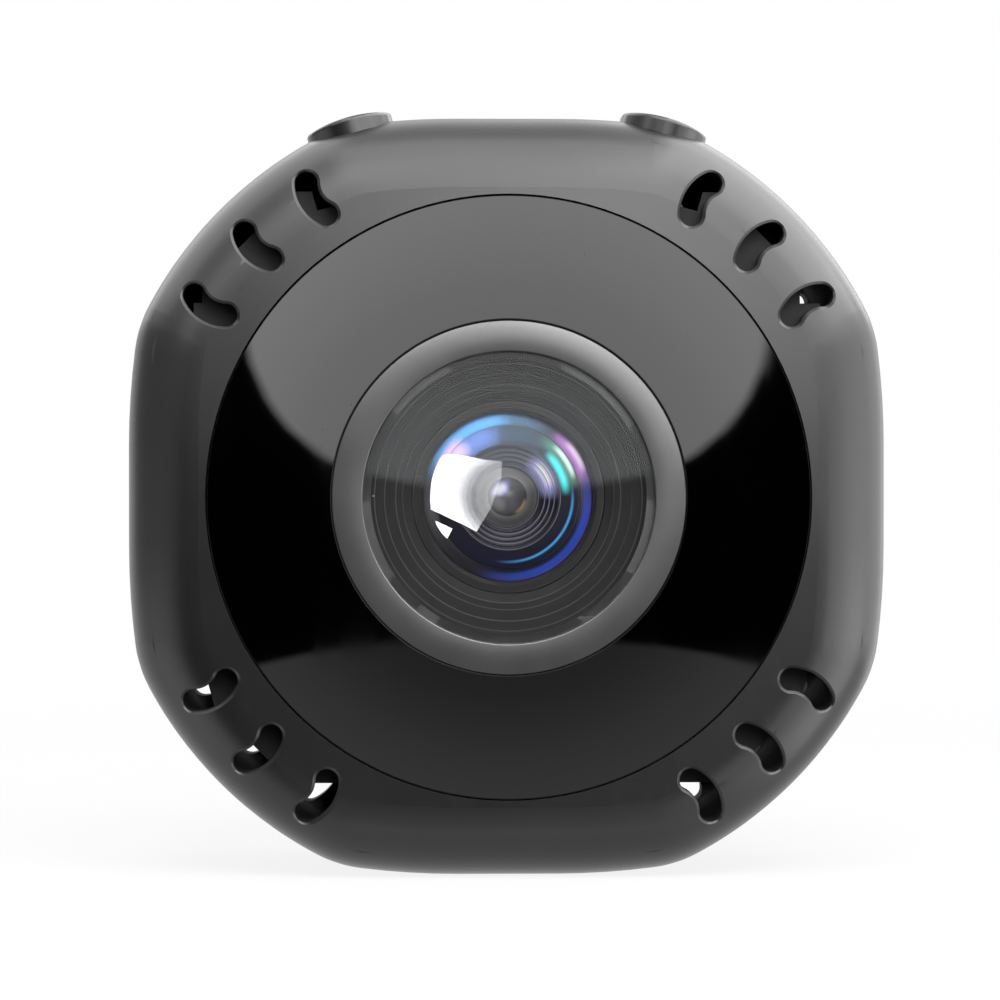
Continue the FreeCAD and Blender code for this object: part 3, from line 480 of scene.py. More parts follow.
@dataclass(frozen=True)
class Turned(Finish):
    """Turned metal or plastic: tool lines about the lens axis over a fine blasted surface, with painted
    highlights on the rings of given edges.
    """

    colour: Colour
    metallic: float = 0.0
    roughness: float = 0.4
    specular: float = 0.5
    pitch_mm: float = 0.09
    line_depth_mm: float = 0.0015
    grain_depth_mm: float = 0.002
    specks: float = 0.0
    glint_radii: tuple[float, ...] = ()
    mottle: float = 1.0
    glint_mm: float = 0.05
    line_roughness: float = 20.0

    def paint(self, shader: Shader) -> bpy.types.Node:
        """Add the nodes of the finish and return the last one."""
        reach, _ = shader.polar()
        wander = shader.noise(1.2, 2.0) * 0.8
        lines = (reach * (2.0 * math.pi / (self.pitch_mm * MM)) + wander).sine() * 0.5 + 0.5
        grain = shader.noise(0.07, 3.0)
        cloud = shader.noise(3.0, 4.0)
        patchy = (cloud * 0.12 + grain * 0.06) * self.mottle
        tone = shader.blend(patchy, self.colour, lighter(self.colour, 0.3))
        if self.specks:
            chips = (1.0 - shader.cells(1.1).step(0.03, 0.07)) * shader.noise(1.9, 1.0).step(0.56, 0.66)
            tone = shader.blend(chips * self.specks, tone, (0.6, 0.6, 0.6))
        # Painted highlight: a lighter ring at each edge radius stands for a glint on that edge.
        for edge in self.glint_radii:
            glint = reach.bell(edge * MM, self.glint_mm * MM) * (0.4 + cloud * 0.6)
            tone = shader.blend(glint, tone, (0.14, 0.14, 0.145))
        rough = self.roughness + lines * (self.line_depth_mm * self.line_roughness) + cloud * 0.06 - 0.04
        normal = shader.bump(grain, self.grain_depth_mm)
        normal = shader.bump(lines, self.line_depth_mm, normal)
        return shader.principled(
            Base_Color=tone, Metallic=self.metallic, Roughness=rough, Normal=normal,
            Specular_IOR_Level=self.specular)


@dataclass(frozen=True)
class CoatTintAndPaintedLight:
    """Patch of coating tint with painted light on a coated surface; such patches make the painted highlights,
    painted reflections and painted shade of the lens.

    Its middle is at an angle and a reach about the lens axis, and it fades over a spread in degrees and a
    width in millimetres.
    """

    angle: float
    spread: float
    reach: float
    width: float
    colour: Colour


@dataclass(frozen=True)
class CoatingWithPaintedLight(Finish):
    """Interference coating on a polished surface: coating tints with painted highlights, painted reflections
    and painted shade, in soft patches about the lens axis.
    """

    base: Colour
    tints_and_painted_light: tuple[CoatTintAndPaintedLight, ...]
    roughness: float = 0.32
    metallic: float = 0.1
    specular: float = 0.1

    def paint(self, shader: Shader) -> bpy.types.Node:
        """Add the nodes of the finish and return the last one."""
        reach, angle = shader.polar()
        fine = shader.noise(0.5, 3.0)
        tone = shader.blend(fine * 0.3, self.base, darker(self.base, 0.5))
        # The patches paint the coating tints together with painted highlights, painted reflections and
        # painted shade.
        for painted_patch in self.tints_and_painted_light:
            turned = shader.math("COSINE", angle - math.radians(painted_patch.angle))
            foot = math.cos(math.radians(min(painted_patch.spread, 180.0))) - max(painted_patch.spread - 180.0, 0.0) / 20.0
            share = turned.step(foot, 1.0) * reach.bell(painted_patch.reach * MM, painted_patch.width * MM)
            tone = shader.blend(share, tone, painted_patch.colour)
        rough = self.roughness + fine * 0.06
        normal = shader.bump(shader.noise(0.3, 2.0), 0.00004)
        return shader.principled(
            Base_Color=tone, Metallic=self.metallic, Roughness=rough, Normal=normal,
            Specular_IOR_Level=self.specular)


@dataclass(frozen=True)
class Clear(Finish):
    """Thin clear glass: light passes straight through, and the surface mirrors a little."""

    reflect: float = 1.0
    tint: Colour = (1.0, 1.0, 1.0)
    passing: Colour = (1.0, 1.0, 1.0)
    index: float = 1.45

    def paint(self, shader: Shader) -> bpy.types.Node:
        """Add the nodes of the finish and return the last one."""
        wipe = shader.noise(2.5, 4.0, (1.0, 1.0, 0.5), 0.3)
        normal = shader.bump(shader.noise(4.0, 1.0), 0.0001)
        mirror = shader.node("ShaderNodeBsdfGlossy", None, {
            "Color": (*self.tint, 1.0), "Roughness": wipe.step(0.5, 0.8) * 0.02, "Normal": normal})
        passing = shader.node("ShaderNodeBsdfTransparent", None, {"Color": (*self.passing, 1.0)})
        fresnel = shader.out(shader.node("ShaderNodeFresnel", None, {"IOR": self.index}))
        return shader.node("ShaderNodeMixShader", None, {
            0: fresnel * self.reflect, 1: passing.outputs[0], 2: mirror.outputs[0]})


@dataclass(frozen=True)
class Laminate(Finish):
    """Circuit board: solder mask over copper tracks, with bare pads."""

    mask: Colour
    copper: Colour = (0.62, 0.36, 0.14)
    track_mm: float = 1.3

    def paint(self, shader: Shader) -> bpy.types.Node:
        """Add the nodes of the finish and return the last one."""
        x, _, z = shader.axes()
        lane = 2.0 * math.pi / (self.track_mm * MM)
        along = (x * lane).sine().step(0.55, 0.75)
        across = (z * lane).sine().step(0.55, 0.75)
        region = shader.noise(4.5, 1.0).step(0.49, 0.51)
        tracks = along * region + across * (1.0 - region)
        pads = (1.0 - shader.cells(2.3, 0.6).step(0.16, 0.19)) * shader.noise(6.0).step(0.45, 0.5)
        weave = shader.noise(0.3, 2.0)
        tone = shader.blend(tracks * 0.5, self.mask, lighter(self.mask, 0.25))
        tone = shader.blend(pads, tone, self.copper)
        normal = shader.bump(tracks * 0.7 + weave * 0.3, 0.02)
        return shader.principled(
            Base_Color=tone, Metallic=pads, Roughness=0.28 + weave * 0.15, Normal=normal)


@dataclass(frozen=True)
class Foil(Finish):
    """Laminated foil of a pouch cell, or thin film: soft creases over a satin skin."""

    colour: Colour
    metallic: float = 0.85
    roughness: float = 0.34
    crease_mm: float = 3.5
    crease_depth_mm: float = 0.05

    def paint(self, shader: Shader) -> bpy.types.Node:
        """Add the nodes of the finish and return the last one."""
        crease = shader.noise(self.crease_mm, 5.0, (1.0, 1.0, 1.4), 0.6)
        brush = shader.noise(0.2, 2.0, (0.05, 1.0, 1.0))
        tone = shader.blend(crease * 0.2, self.colour, darker(self.colour, 0.5))
        normal = shader.bump(crease, self.crease_depth_mm)
        return shader.principled(
            Base_Color=tone, Metallic=self.metallic, Roughness=self.roughness + brush * 0.12, Normal=normal)


@dataclass(frozen=True)
class Metal(Finish):
    """Plain metal: brushed streaks, tarnish and fine scratches."""

    colour: Colour
    roughness: float = 0.28
    streak: Point = (0.08, 1.0, 1.0)
    tarnish: float = 0.25

    def paint(self, shader: Shader) -> bpy.types.Node:
        """Add the nodes of the finish and return the last one."""
        brush = shader.noise(0.15, 3.0, self.streak)
        stain = shader.noise(1.8, 5.0).step(0.5, 0.8)
        scratch = shader.noise(0.5, 6.0, (0.15, 1.0, 0.6), 1.0).step(0.66, 0.7)
        tone = shader.blend(stain * self.tarnish, self.colour, darker(self.colour, 0.6))
        rough = self.roughness + brush * 0.12 + stain * 0.12 - 0.06
        normal = shader.bump(brush * 0.7 + scratch * 0.3, 0.003)
        return shader.principled(Base_Color=tone, Metallic=1.0, Roughness=rough, Normal=normal)


def placed(name: str, data: bpy.types.ID) -> bpy.types.Object:
    """New object in the scene."""
    item = bpy.data.objects.new(name, data)
    bpy.context.scene.collection.objects.link(item)
    return item


def evaluated(piece: bpy.types.Object) -> bpy.types.Mesh:
    """Mesh of an object with its modifiers applied."""
    graph = bpy.context.evaluated_depsgraph_get()
    return bpy.data.meshes.new_from_object(piece.evaluated_get(graph), depsgraph=graph)


class Tree:
    """Geometry Nodes tree with named inputs, which shapes one piece after another."""

    def __init__(self, name: str, inputs: Sequence[tuple[str, str, Any]]) -> None:
        """Build the tree, which ends with real geometry in its finish.

        Args:
            name: Name of the tree.
            inputs: Name, kind and default value of each input after the geometry.
        """
        self.tree = bpy.data.node_groups.new(name, "GeometryNodeTree")
        face = self.tree.interface
        face.new_socket("Geometry", in_out="INPUT", socket_type="NodeSocketGeometry")
        self.keys: dict[str, str] = {}
        for key, kind, value in (*inputs, ("Finish", "Material", None)):
            socket = face.new_socket(key, in_out="INPUT", socket_type="NodeSocket" + kind)
            if value is not None:
                socket.default_value = value
            self.keys[key] = socket.identifier
        face.new_socket("Geometry", in_out="OUTPUT", socket_type="NodeSocketGeometry")
        graph = Graph(self.tree)
        start = graph.node("NodeGroupInput")
        real = graph.node("GeometryNodeRealizeInstances", None, {0: self.shape(graph, start)})
        named = graph.node("GeometryNodeSetMaterial", None, {
            "Geometry": graph.out(real), "Material": start.outputs["Finish"]})
        graph.wire(graph.node("NodeGroupOutput").inputs[0], graph.out(named))

    def shape(self, graph: Graph, start: bpy.types.Node) -> Signal:
        """Add the nodes that make the shape.

        Args:
            graph: The tree.
            start: Its group input.

        Returns:
            The shaped geometry.
        """
        raise NotImplementedError

    def settle(self, name: str, mesh: bpy.types.Mesh, values: dict[str, Any], slot: str,
               nodes: Sequence[str]) -> bpy.types.Object:
        """Run the tree on a mesh, keep the plain result and ride it on the housing.

        Args:
            name: Name of the new object.
            mesh: What the tree starts from.
            values: Inputs by name.
            slot: Material slot of the record; not used.
            nodes: CAD nodes that the piece stands for.

        Returns:
            The finished object.
        """
        piece = placed(name, mesh)
        modifier = piece.modifiers.new("shape", "NODES")
        modifier.node_group = self.tree
        for key, value in values.items():
            modifier[self.keys[key]] = value
        piece.update_tag()
        plain = evaluated(piece)
        piece.modifiers.clear()
        piece.data = plain
        plain.name = name
        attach(piece, "housing")
        if nodes:
            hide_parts(*nodes)
        LOG.info("%s: %d faces, for %s", name, len(plain.polygons), ", ".join(nodes) or "nothing")
        return piece


class Turning(Tree):
    """Tree that turns a profile about the lens axis."""

    SEGMENTS = 192
    SHARP = 28.0
    MERGE = 0.002

    def __init__(self) -> None:
        """Build the tree with its named inputs."""
        super().__init__("turned_piece", (
            ("Segments", "Int", self.SEGMENTS), ("Axis height", "Float", AXIS_HEIGHT),
            ("Sharp angle", "Float", math.radians(self.SHARP))))

    def shape(self, graph: Graph, start: bpy.types.Node) -> Signal:
        """Lay a grid over the profile's points and the turns, and bend it round the axis.

        Args:
            graph: The tree.
            start: Its group input.

        Returns:
            The turned geometry.
        """
        segments, height = graph.out(start, "Segments"), graph.out(start, "Axis height")
        size = graph.node("GeometryNodeAttributeDomainSize", {"component": "MESH"}, {
            0: start.outputs["Geometry"]})
        columns = segments + 1
        grid = graph.node("GeometryNodeMeshGrid", None, {
            "Size X": 1.0, "Size Y": 1.0, "Vertices X": size.outputs["Point Count"], "Vertices Y": columns})
        index = graph.out(graph.node("GeometryNodeInputIndex"))
        row = graph.math("FLOOR", (index + 0.5) / columns)
        column = index - row * columns
        place = graph.out(graph.node("GeometryNodeInputPosition"))
        sample = graph.node("GeometryNodeSampleIndex", {"data_type": "FLOAT_VECTOR", "domain": "POINT"}, {
            "Geometry": start.outputs["Geometry"], "Value": place, "Index": row})
        reach, depth, _ = graph.split(graph.out(sample))
        turn = column * (2.0 * math.pi) / segments
        across, up = reach * graph.math("COSINE", turn), reach * graph.math("SINE", turn) + height
        bent = graph.node("GeometryNodeSetPosition", None, {
            "Geometry": grid.outputs["Mesh"], "Position": graph.join(across, depth, up)})
        merged = graph.node("GeometryNodeMergeByDistance", None, {
            "Geometry": graph.out(bent), "Distance": self.MERGE * MM})
        smooth = graph.node("GeometryNodeSetShadeSmooth", {"domain": "FACE"}, {"Geometry": graph.out(merged)})
        angle = graph.out(graph.node("GeometryNodeInputMeshEdgeAngle"))
        sharp = graph.node("FunctionNodeCompare", {"operation": "GREATER_THAN"}, {
            "A": angle, "B": graph.out(start, "Sharp angle")})
        return graph.out(graph.node("GeometryNodeSetShadeSmooth", {"domain": "EDGE"}, {
            "Geometry": graph.out(smooth), "Selection": graph.out(sharp), "Shade Smooth": False}))

    def turn(self, name: str, profile: Sequence[Spot], finish: Finish, slot: str,
             nodes: Sequence[str] = (), segments: int = SEGMENTS, sharp: float = SHARP) -> bpy.types.Object:
        """Make one turned piece.

        Args:
            name: Name of the new object.
            profile: Outline as (radius, depth) in millimetres, closed or ending on the axis.
            finish: Finish of the piece.
            slot: Material slot of the record.
            nodes: CAD nodes that the piece stands for.
            segments: Steps around the axis.
            sharp: Angle in degrees above which an edge stays sharp.

        Returns:
            The finished object, riding on the housing.
        """
        points = list(profile)
        area = sum(a[0] * b[1] - b[0] * a[1] for a, b in zip(points, points[1:] + points[:1]))
        if area < 0:
            points.reverse()
        if points[0][0] > 0 or points[-1][0] > 0:
            points.append(points[0])
        mesh = bpy.data.meshes.new(name)
        mesh.from_pydata([(r * MM, y * MM, 0.0) for r, y in points],
                         [(k, k + 1) for k in range(len(points) - 1)], [])
        values = {"Segments": segments, "Sharp angle": math.radians(sharp), "Finish": finish.material(name)}
        return self.settle(name, mesh, values, slot, nodes)


class Repeat(Tree):
    """Tree that sets one part on every point of a mesh."""

    def __init__(self) -> None:
        """Build the tree with its named inputs."""
        super().__init__("repeated_part", (("Part", "Object", None), ("Turn step", "Float", None)))

    def shape(self, graph: Graph, start: bpy.types.Node) -> Signal:
        """Set the part on the points, each one turned a step further about Y."""
        part = graph.node("GeometryNodeObjectInfo", {"transform_space": "ORIGINAL"}, {
            "Object": start.outputs["Part"]})
        index = graph.out(graph.node("GeometryNodeInputIndex"))
        turn = graph.join(0.0, index * graph.out(start, "Turn step"), 0.0)
        return graph.out(graph.node("GeometryNodeInstanceOnPoints", None, {
            "Points": start.outputs["Geometry"], "Instance": part.outputs["Geometry"], "Rotation": turn}))

    def spread(self, name: str, template: bpy.types.Mesh, places: Sequence[Point], turn_step: float,
               finish: Finish, slot: str, nodes: Sequence[str] = ()) -> bpy.types.Object:
        """Set one part on several places.

        Args:
            name: Name of the new object.
            template: Mesh of one part about its own origin.
            places: Where the parts stand, in metres.
            turn_step: Turn about Y from one part to the next, in radians.
            finish: Finish of the parts.
            slot: Material slot of the record.
            nodes: CAD nodes that the parts stand for.

        Returns:
            The finished object, riding on the housing.
        """
        part = placed(name + "_one", template)
        mesh = bpy.data.meshes.new(name)
        mesh.from_pydata(list(places), [], [])
        values = {"Part": part, "Turn step": turn_step, "Finish": finish.material(name)}
        piece = self.settle(name, mesh, values, slot, nodes)
        bpy.data.objects.remove(part)
        return piece


def arc(centre: Spot, radius: float, first: float, last: float, steps: int) -> list[Spot]:
    """Points on an arc of a profile.

    Args:
        centre: Middle as (radius from the lens axis, depth).
        radius: Radius of the arc.
        first: Angle of the first point in degrees, from outward towards the back.
        last: Angle of the last point.
        steps: Number of runs.

    Returns:
        The points, first and last included.
    """
    turns = [math.radians(first + (last - first) * k / steps) for k in range(steps + 1)]
    return [(max(centre[0] + radius * math.cos(t), 0.0), centre[1] + radius * math.sin(t)) for t in turns]


@dataclass(frozen=True)
class Tools:
    """Geometry Nodes trees that the sub-assemblies share."""

    turning: Turning
    repeat: Repeat


@dataclass
class Assembly:
    """Sub-assembly of carried-over CAD nodes with a finish for each."""

    carried: dict[str, Finish] = field(default_factory=dict)

    def dress(self) -> None:
        """Give each carried CAD node its finish."""
        for name, finish in self.carried.items():
            material = finish.material(name + "_finish")
            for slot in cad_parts[name].material_slots:
                slot.material = material
            LOG.info("%s: kept from the frame as %s", name, type(finish).__name__)

    def build(self, tools: Tools) -> dict[str, bpy.types.Object]:
        """Make the pieces that are modelled anew. A plain sub-assembly has none.

        Args:
            tools: Trees that shape the pieces.

        Returns:
            The pieces that the studio lights on their own, by name.
        """
        return {}


@dataclass
class Housing(Assembly):
    """Both shells, the gloss panel, the light pipe and the magnets, with the screws in the back."""

    carried: dict[str, Finish] = field(default_factory=lambda: {
        "front_shell": Casing((0.007, 0.007, 0.0072), 0.32),
        "rear_shell": Casing((0.0068, 0.0068, 0.007), 0.32),
        "front_panel": Gloss((0.0012, 0.0012, 0.0013), 0.015),
        "panel_adhesive": Foil((0.02, 0.02, 0.02), 0.0, 0.6, 1.5, 0.01),
        "light_pipe": Clear(1.0, (1.0, 1.0, 1.0), (0.85, 0.9, 0.88), 1.5),
        "magnet_upper": Metal((0.68, 0.66, 0.62), 0.22, (1.0, 1.0, 1.0), 0.1),
        "magnet_lower": Metal((0.67, 0.66, 0.63), 0.22, (1.0, 1.0, 1.0), 0.12),
    })
    screw_x: float = 8.8
    screw_z: float = 13.8
    screw_front: float = -1.4
    screw_seat: float = 8.6
    screw_back: float = 9.4
    shaft: float = 0.75
    head: float = 1.4
    chamfer: float = 0.08
    tip: float = 0.4
    tip_share: float = 0.7
    crown: float = 0.25
    crown_run: float = 0.3
    cross: float = 0.87
    cross_half: float = 0.2
    cross_depth: float = 0.4
    cross_taper: float = 0.75
    cross_over: float = 0.4
    screw_turn: float = 0.7

    def build(self, tools: Tools) -> dict[str, bpy.types.Object]:
        """Set the four case screws on their places.

        Args:
            tools: Trees that shape the pieces.

        Returns:
            Nothing that needs light of its own.
        """
        places = [(x * self.screw_x * MM, 0.0, AXIS_HEIGHT + z * self.screw_z * MM)
                  for x, z in ((-1, -1), (1, -1), (1, 1), (-1, 1))]
        tools.repeat.spread("case_screw_set", self.screw(), places, self.screw_turn,
                            Metal((0.12, 0.12, 0.125), 0.34), "screw_steel", ("case_screws",))
        return {}

    def screw(self) -> bpy.types.Mesh:
        """One pan-head screw with a cross recess, about its own axis."""
        front, seat, back, head = self.screw_front, self.screw_seat, self.screw_back, self.head
        rings = [(0.0, front), (self.shaft * self.tip_share, front), (self.shaft, front + self.tip),
                 (self.shaft, seat), (head - self.chamfer, seat), (head, seat + self.chamfer),
                 (head, back - self.crown), (head - self.chamfer, back - self.chamfer),
                 (head - self.crown_run, back), (0.0, back)]
        body = lathe_mesh("screw_body", rings, 40)
        cross = bpy.data.meshes.new("screw_cross")
        a, b = self.cross, self.cross_half
        plan: list[Spot] = []
        corners = [(a, -b), (a, b), (b, b)]
        for _ in range(4):
            plan += corners
            corners = [(-z, x) for x, z in corners]
        count = len(plan)
        ends = ((self.cross_taper, back - self.cross_depth), (1.0, back + self.cross_over))
        points = [(x * share * MM, depth * MM, z * share * MM) for share, depth in ends for x, z in plan]
        sides = [(k, (k + 1) % count, count + (k + 1) % count, count + k) for k in range(count)]
        cross.from_pydata(points, [], sides + [tuple(range(count))[::-1], tuple(range(count, 2 * count))])
        return carved(body, cross)


def lathe_mesh(name: str, rings: Sequence[Spot], steps: int) -> bpy.types.Mesh:
    """Closed turned mesh about Y.

    Args:
        name: Name of the mesh.
        rings: (radius, depth) in millimetres, the first and the last on the axis.
        steps: Steps around the axis.

    Returns:
        The mesh.
    """
    turns = [2 * math.pi * k / steps for k in range(steps)]
    points: list[Point] = [(0.0, rings[0][1] * MM, 0.0)]
    for reach, depth in rings[1:-1]:
        points += [(reach * MM * math.cos(turn), depth * MM, reach * MM * math.sin(turn)) for turn in turns]
    points.append((0.0, rings[-1][1] * MM, 0.0))
    last = len(points) - 1
    faces: list[tuple[int, ...]] = []
    for k in range(steps):
        after = (k + 1) % steps
        faces.append((0, 1 + k, 1 + after))
        for ring in range(len(rings) - 3):
            low, high = 1 + ring * steps, 1 + (ring + 1) * steps
            faces.append((low + k, high + k, high + after, low + after))
        top = 1 + (len(rings) - 3) * steps
        faces.append((top + k, last, top + after))
    mesh = bpy.data.meshes.new(name)
    mesh.from_pydata(points, [], faces)
    return mesh


def carved(body: bpy.types.Mesh, tool: bpy.types.Mesh) -> bpy.types.Mesh:
    """Mesh with another cut out of it.

    Args:
        body: Closed mesh.
        tool: Closed mesh that is taken away.

    Returns:
        The carved mesh.
    """
    for mesh in (body, tool):
        outward = bmesh.new()
        outward.from_mesh(mesh)
        bmesh.ops.recalc_face_normals(outward, faces=outward.faces)
        outward.to_mesh(mesh)
        outward.free()
    piece, cutter = placed(body.name, body), placed(tool.name, tool)
    modifier = piece.modifiers.new("recess", "BOOLEAN")
    modifier.operation = "DIFFERENCE"
    modifier.object = cutter
    modifier.solver = "EXACT"
    mesh = evaluated(piece)
    for item in (piece, cutter):
        bpy.data.objects.remove(item)
    return mesh


@dataclass
class Optics(Assembly):
    """Trim ring, window and the lens with its barrel, and the carried-over pieces behind it."""

    carried: dict[str, Finish] = field(default_factory=lambda: {
        "rear_lens": Clear(0.8, (0.7, 0.9, 1.0)),
        "lens_holder": Moulded((0.016, 0.016, 0.017), 0.55),
        "ir_cut_filter": Clear(2.0, (1.0, 0.45, 0.4), (0.8, 1.0, 1.0), 1.5),
        "image_sensor": Foil((0.05, 0.06, 0.09), 0.6, 0.2, 6.0, 0.002),
        "holder_screws": Metal((0.32, 0.32, 0.33), 0.32),
    })
    face: float = FACE_MM
    ring_outer: float = 10.41
    ring_bore: float = 8.62
    ring_round: float = 0.06
    ring_fall: float = 0.13
    ring_back: float = -8.95
    sleeve: float = 9.6
    sleeve_bore: float = 8.5
    sleeve_end: float = -6.8
    ledge: float = 8.12
    window_front: float = -9.95
    window_back: float = -9.15
    ledge_back: float = -8.65
    barrel_face: float = -8.55
    barrel_outer: float = 8.4
    barrel_back: float = -5.65
    slope: float = 0.06
    corner: float = 0.05
    step_one: float = 7.31
    step_two: float = 6.25
    step_drop: float = 0.22
    retainer_outer: float = 5.68
    retainer_bore: float = 5.04
    retainer_face: float = -7.87
    rim: float = -7.02
    dome: float = 12.0
    lens_edge: float = 5.02
    lens_back: float = -6.62
    spacer_back: float = -5.97
    second_back: float = -4.97
    lens_seat: float = 4.12
    second_seat: float = 3.22
    second_edge: float = 3.2
    stop_bore: float = 1.4
    stop_back: float = -4.57
    tail_bore: float = 4.02
    neck: float = 5.95
    neck_back: float = -1.45
    coat_split: float = 4.28
    coat_inner: float = 3.16
    bead: float = 1.16
    bead_ball: float = 1.3
    bead_rise: float = 0.9

    def build(self, tools: Tools) -> dict[str, bpy.types.Object]:
        """Turn the ring, the window, the barrel and every lens element.

        Args:
            tools: Trees that shape the pieces.

        Returns:
            The glass and coated pieces by name, which the studio lights on their own.
        """
        r, turning = self.ring_round, tools.turning
        turning.turn("trim_ring", [
            (self.ring_bore, self.face + r), *arc((self.ring_bore + r, self.face + r), r, 180, 270, 4)[1:],
            *arc((self.ring_outer - r, self.face + self.ring_fall + r), r, 270, 360, 4),
            (self.ring_outer, self.ring_back), (self.sleeve, self.ring_back), (self.sleeve, self.sleeve_end),
            (self.sleeve_bore, self.sleeve_end), (self.sleeve_bore, self.ledge_back),
            (self.ledge, self.ledge_back), (self.ledge, self.window_back),
            (self.ring_bore, self.window_back)],
            Turned((0.062, 0.062, 0.064), 0.0, 0.27, 1.0, 0.12, 0.00003, 0.0001), "ring_plastic",
            ("lens_ring",), 256)
        edge, cut = self.ring_bore - 0.04, self.corner
        window = turning.turn("clear_window", [
            (0.0, self.window_front), (edge - cut, self.window_front), (edge, self.window_front + cut),
            (edge, self.window_back), (0.0, self.window_back)],
            Clear(0.28, (0.95, 0.97, 1.0)), "window_clear", ("lens_window",))
        self._barrel(turning)
        return {"clear_window": window, **self._glass(turning)}

    def _barrel(self, turning: Turning) -> None:
        """Turn the stepped barrel and the threaded ring in it.

        Args:
            turning: Tree that turns profiles.
        """
        c, drop, slope = self.corner, self.step_drop, self.slope
        lip, bore = self.retainer_outer + 0.02, self.retainer_bore + 0.02
        two = self.barrel_face + slope + drop
        three = two + slope + drop
        turning.turn("stepped_barrel", [
            (self.barrel_outer, self.barrel_face), (self.step_one + c, self.barrel_face + slope),
            (self.step_one, self.barrel_face + slope + c), (self.step_one, two),
            (self.step_two + c, two + slope),
            (self.step_two, two + slope + c), (self.step_two, three), (lip + c, three + slope),
            (lip, three + slope + c), (lip, self.rim), (bore, self.rim), (bore, self.lens_back),
            (self.lens_seat, self.lens_back), (self.lens_seat, self.spacer_back),
            (self.second_seat, self.spacer_back), (self.second_seat, self.second_back),
            (self.stop_bore, self.second_back), (self.stop_bore, self.stop_back),
            (self.tail_bore, self.stop_back), (self.tail_bore, self.neck_back), (self.neck, self.neck_back),
            (self.neck, self.barrel_back), (self.barrel_outer, self.barrel_back)],
            Turned((0.008, 0.008, 0.0084), 0.0, 0.42, 0.15, 0.11, 0.0012, 0.0016, 0.8,
                   # radii of the painted edge highlights
                   (self.barrel_outer - 0.5, self.step_one, self.step_two + 0.4, self.step_two), 0.35),
            "barrel_black", ("lens_barrel",), 256, 20.0)
        bevel = 0.22
        turning.turn("retaining_ring", [
            (self.retainer_bore + bevel, self.retainer_face),
            (self.retainer_outer - 0.04, self.retainer_face),
            (self.retainer_outer, self.retainer_face + 0.04), (self.retainer_outer, self.rim),
            (self.retainer_bore, self.rim), (self.retainer_bore, self.retainer_face + bevel)],
            Turned((0.009, 0.009, 0.0094), 0.0, 0.4, 0.2, 0.1, 0.001, 0.0014, 0.5,
                   # radius of the painted edge highlight
                   (self.retainer_outer - 0.03,), 0.35), "barrel_black",
            ("lens_retainer",), 224, 20.0)

    @classmethod
    def apex(cls) -> float:
        """Depth of the domed glass's foremost point."""
        return cls.rim - cls.dome + math.sqrt(cls.dome ** 2 - cls.lens_edge ** 2)

    def _glass(self, turning: Turning) -> dict[str, bpy.types.Object]:
        """Turn the domed element, its coated rings, the baffle and the second element.

        Args:
            turning: Tree that turns profiles.

        Returns:
            The pieces by name.
        """
        sweep = math.degrees(math.asin(self.lens_edge / self.dome))
        dome = arc((0.0, self.apex() + self.dome), self.dome, 270, 270 + sweep, 40)
        back = self.rim + 0.05
        lens = {"domed_glass": turning.turn(
            "domed_glass", [*dome, (self.lens_edge, back), (self.lens_edge - 0.02, back), *[
                (x, y + 0.02) for x, y in reversed(dome)]],
            Clear(1.0, (0.97, 0.98, 1.0)), "lens_glass", ("front_lens",), 224)}
        # Coating tints set out as painted reflections and highlights round the rim, with painted shade where
        # it lies dark.
        lens["coated_rim"] = turning.turn("coated_rim", [
            (self.coat_split, -7.1), (4.6, -7.06), (self.lens_edge, -6.96), (self.lens_edge, self.lens_back),
            (self.coat_split, self.lens_back)], CoatingWithPaintedLight((0.025, 0.025, 0.03), (
                CoatTintAndPaintedLight(205, 50, 4.65, 0.9, (0.12, 0.12, 0.125)),
                CoatTintAndPaintedLight(-118, 55, 4.65, 0.9, (0.022, 0.022, 0.03)),
                CoatTintAndPaintedLight(92, 42, 4.65, 0.9, (0.06, 0.13, 0.22)), CoatTintAndPaintedLight(126, 44, 4.7, 1.1, (0.13, 0.46, 0.95)),
                CoatTintAndPaintedLight(146, 20, 4.35, 0.5, (0.85, 0.55, 0.9)), CoatTintAndPaintedLight(31, 27, 4.7, 0.75, (0.5, 0.22, 0.65)),
                CoatTintAndPaintedLight(31, 14, 4.8, 0.32, (1.0, 0.8, 1.0)), CoatTintAndPaintedLight(-5, 25, 4.65, 0.9, (0.07, 0.06, 0.09)),
                CoatTintAndPaintedLight(-45, 72, 4.92, 0.3, (0.13, 0.1, 0.46)), CoatTintAndPaintedLight(-46, 70, 4.7, 0.34, (0.03, 0.11, 0.74)),
                CoatTintAndPaintedLight(-50, 60, 4.36, 0.25, (0.015, 0.014, 0.04)))), "lens_glass", ("front_lens",), 224, 35.0)
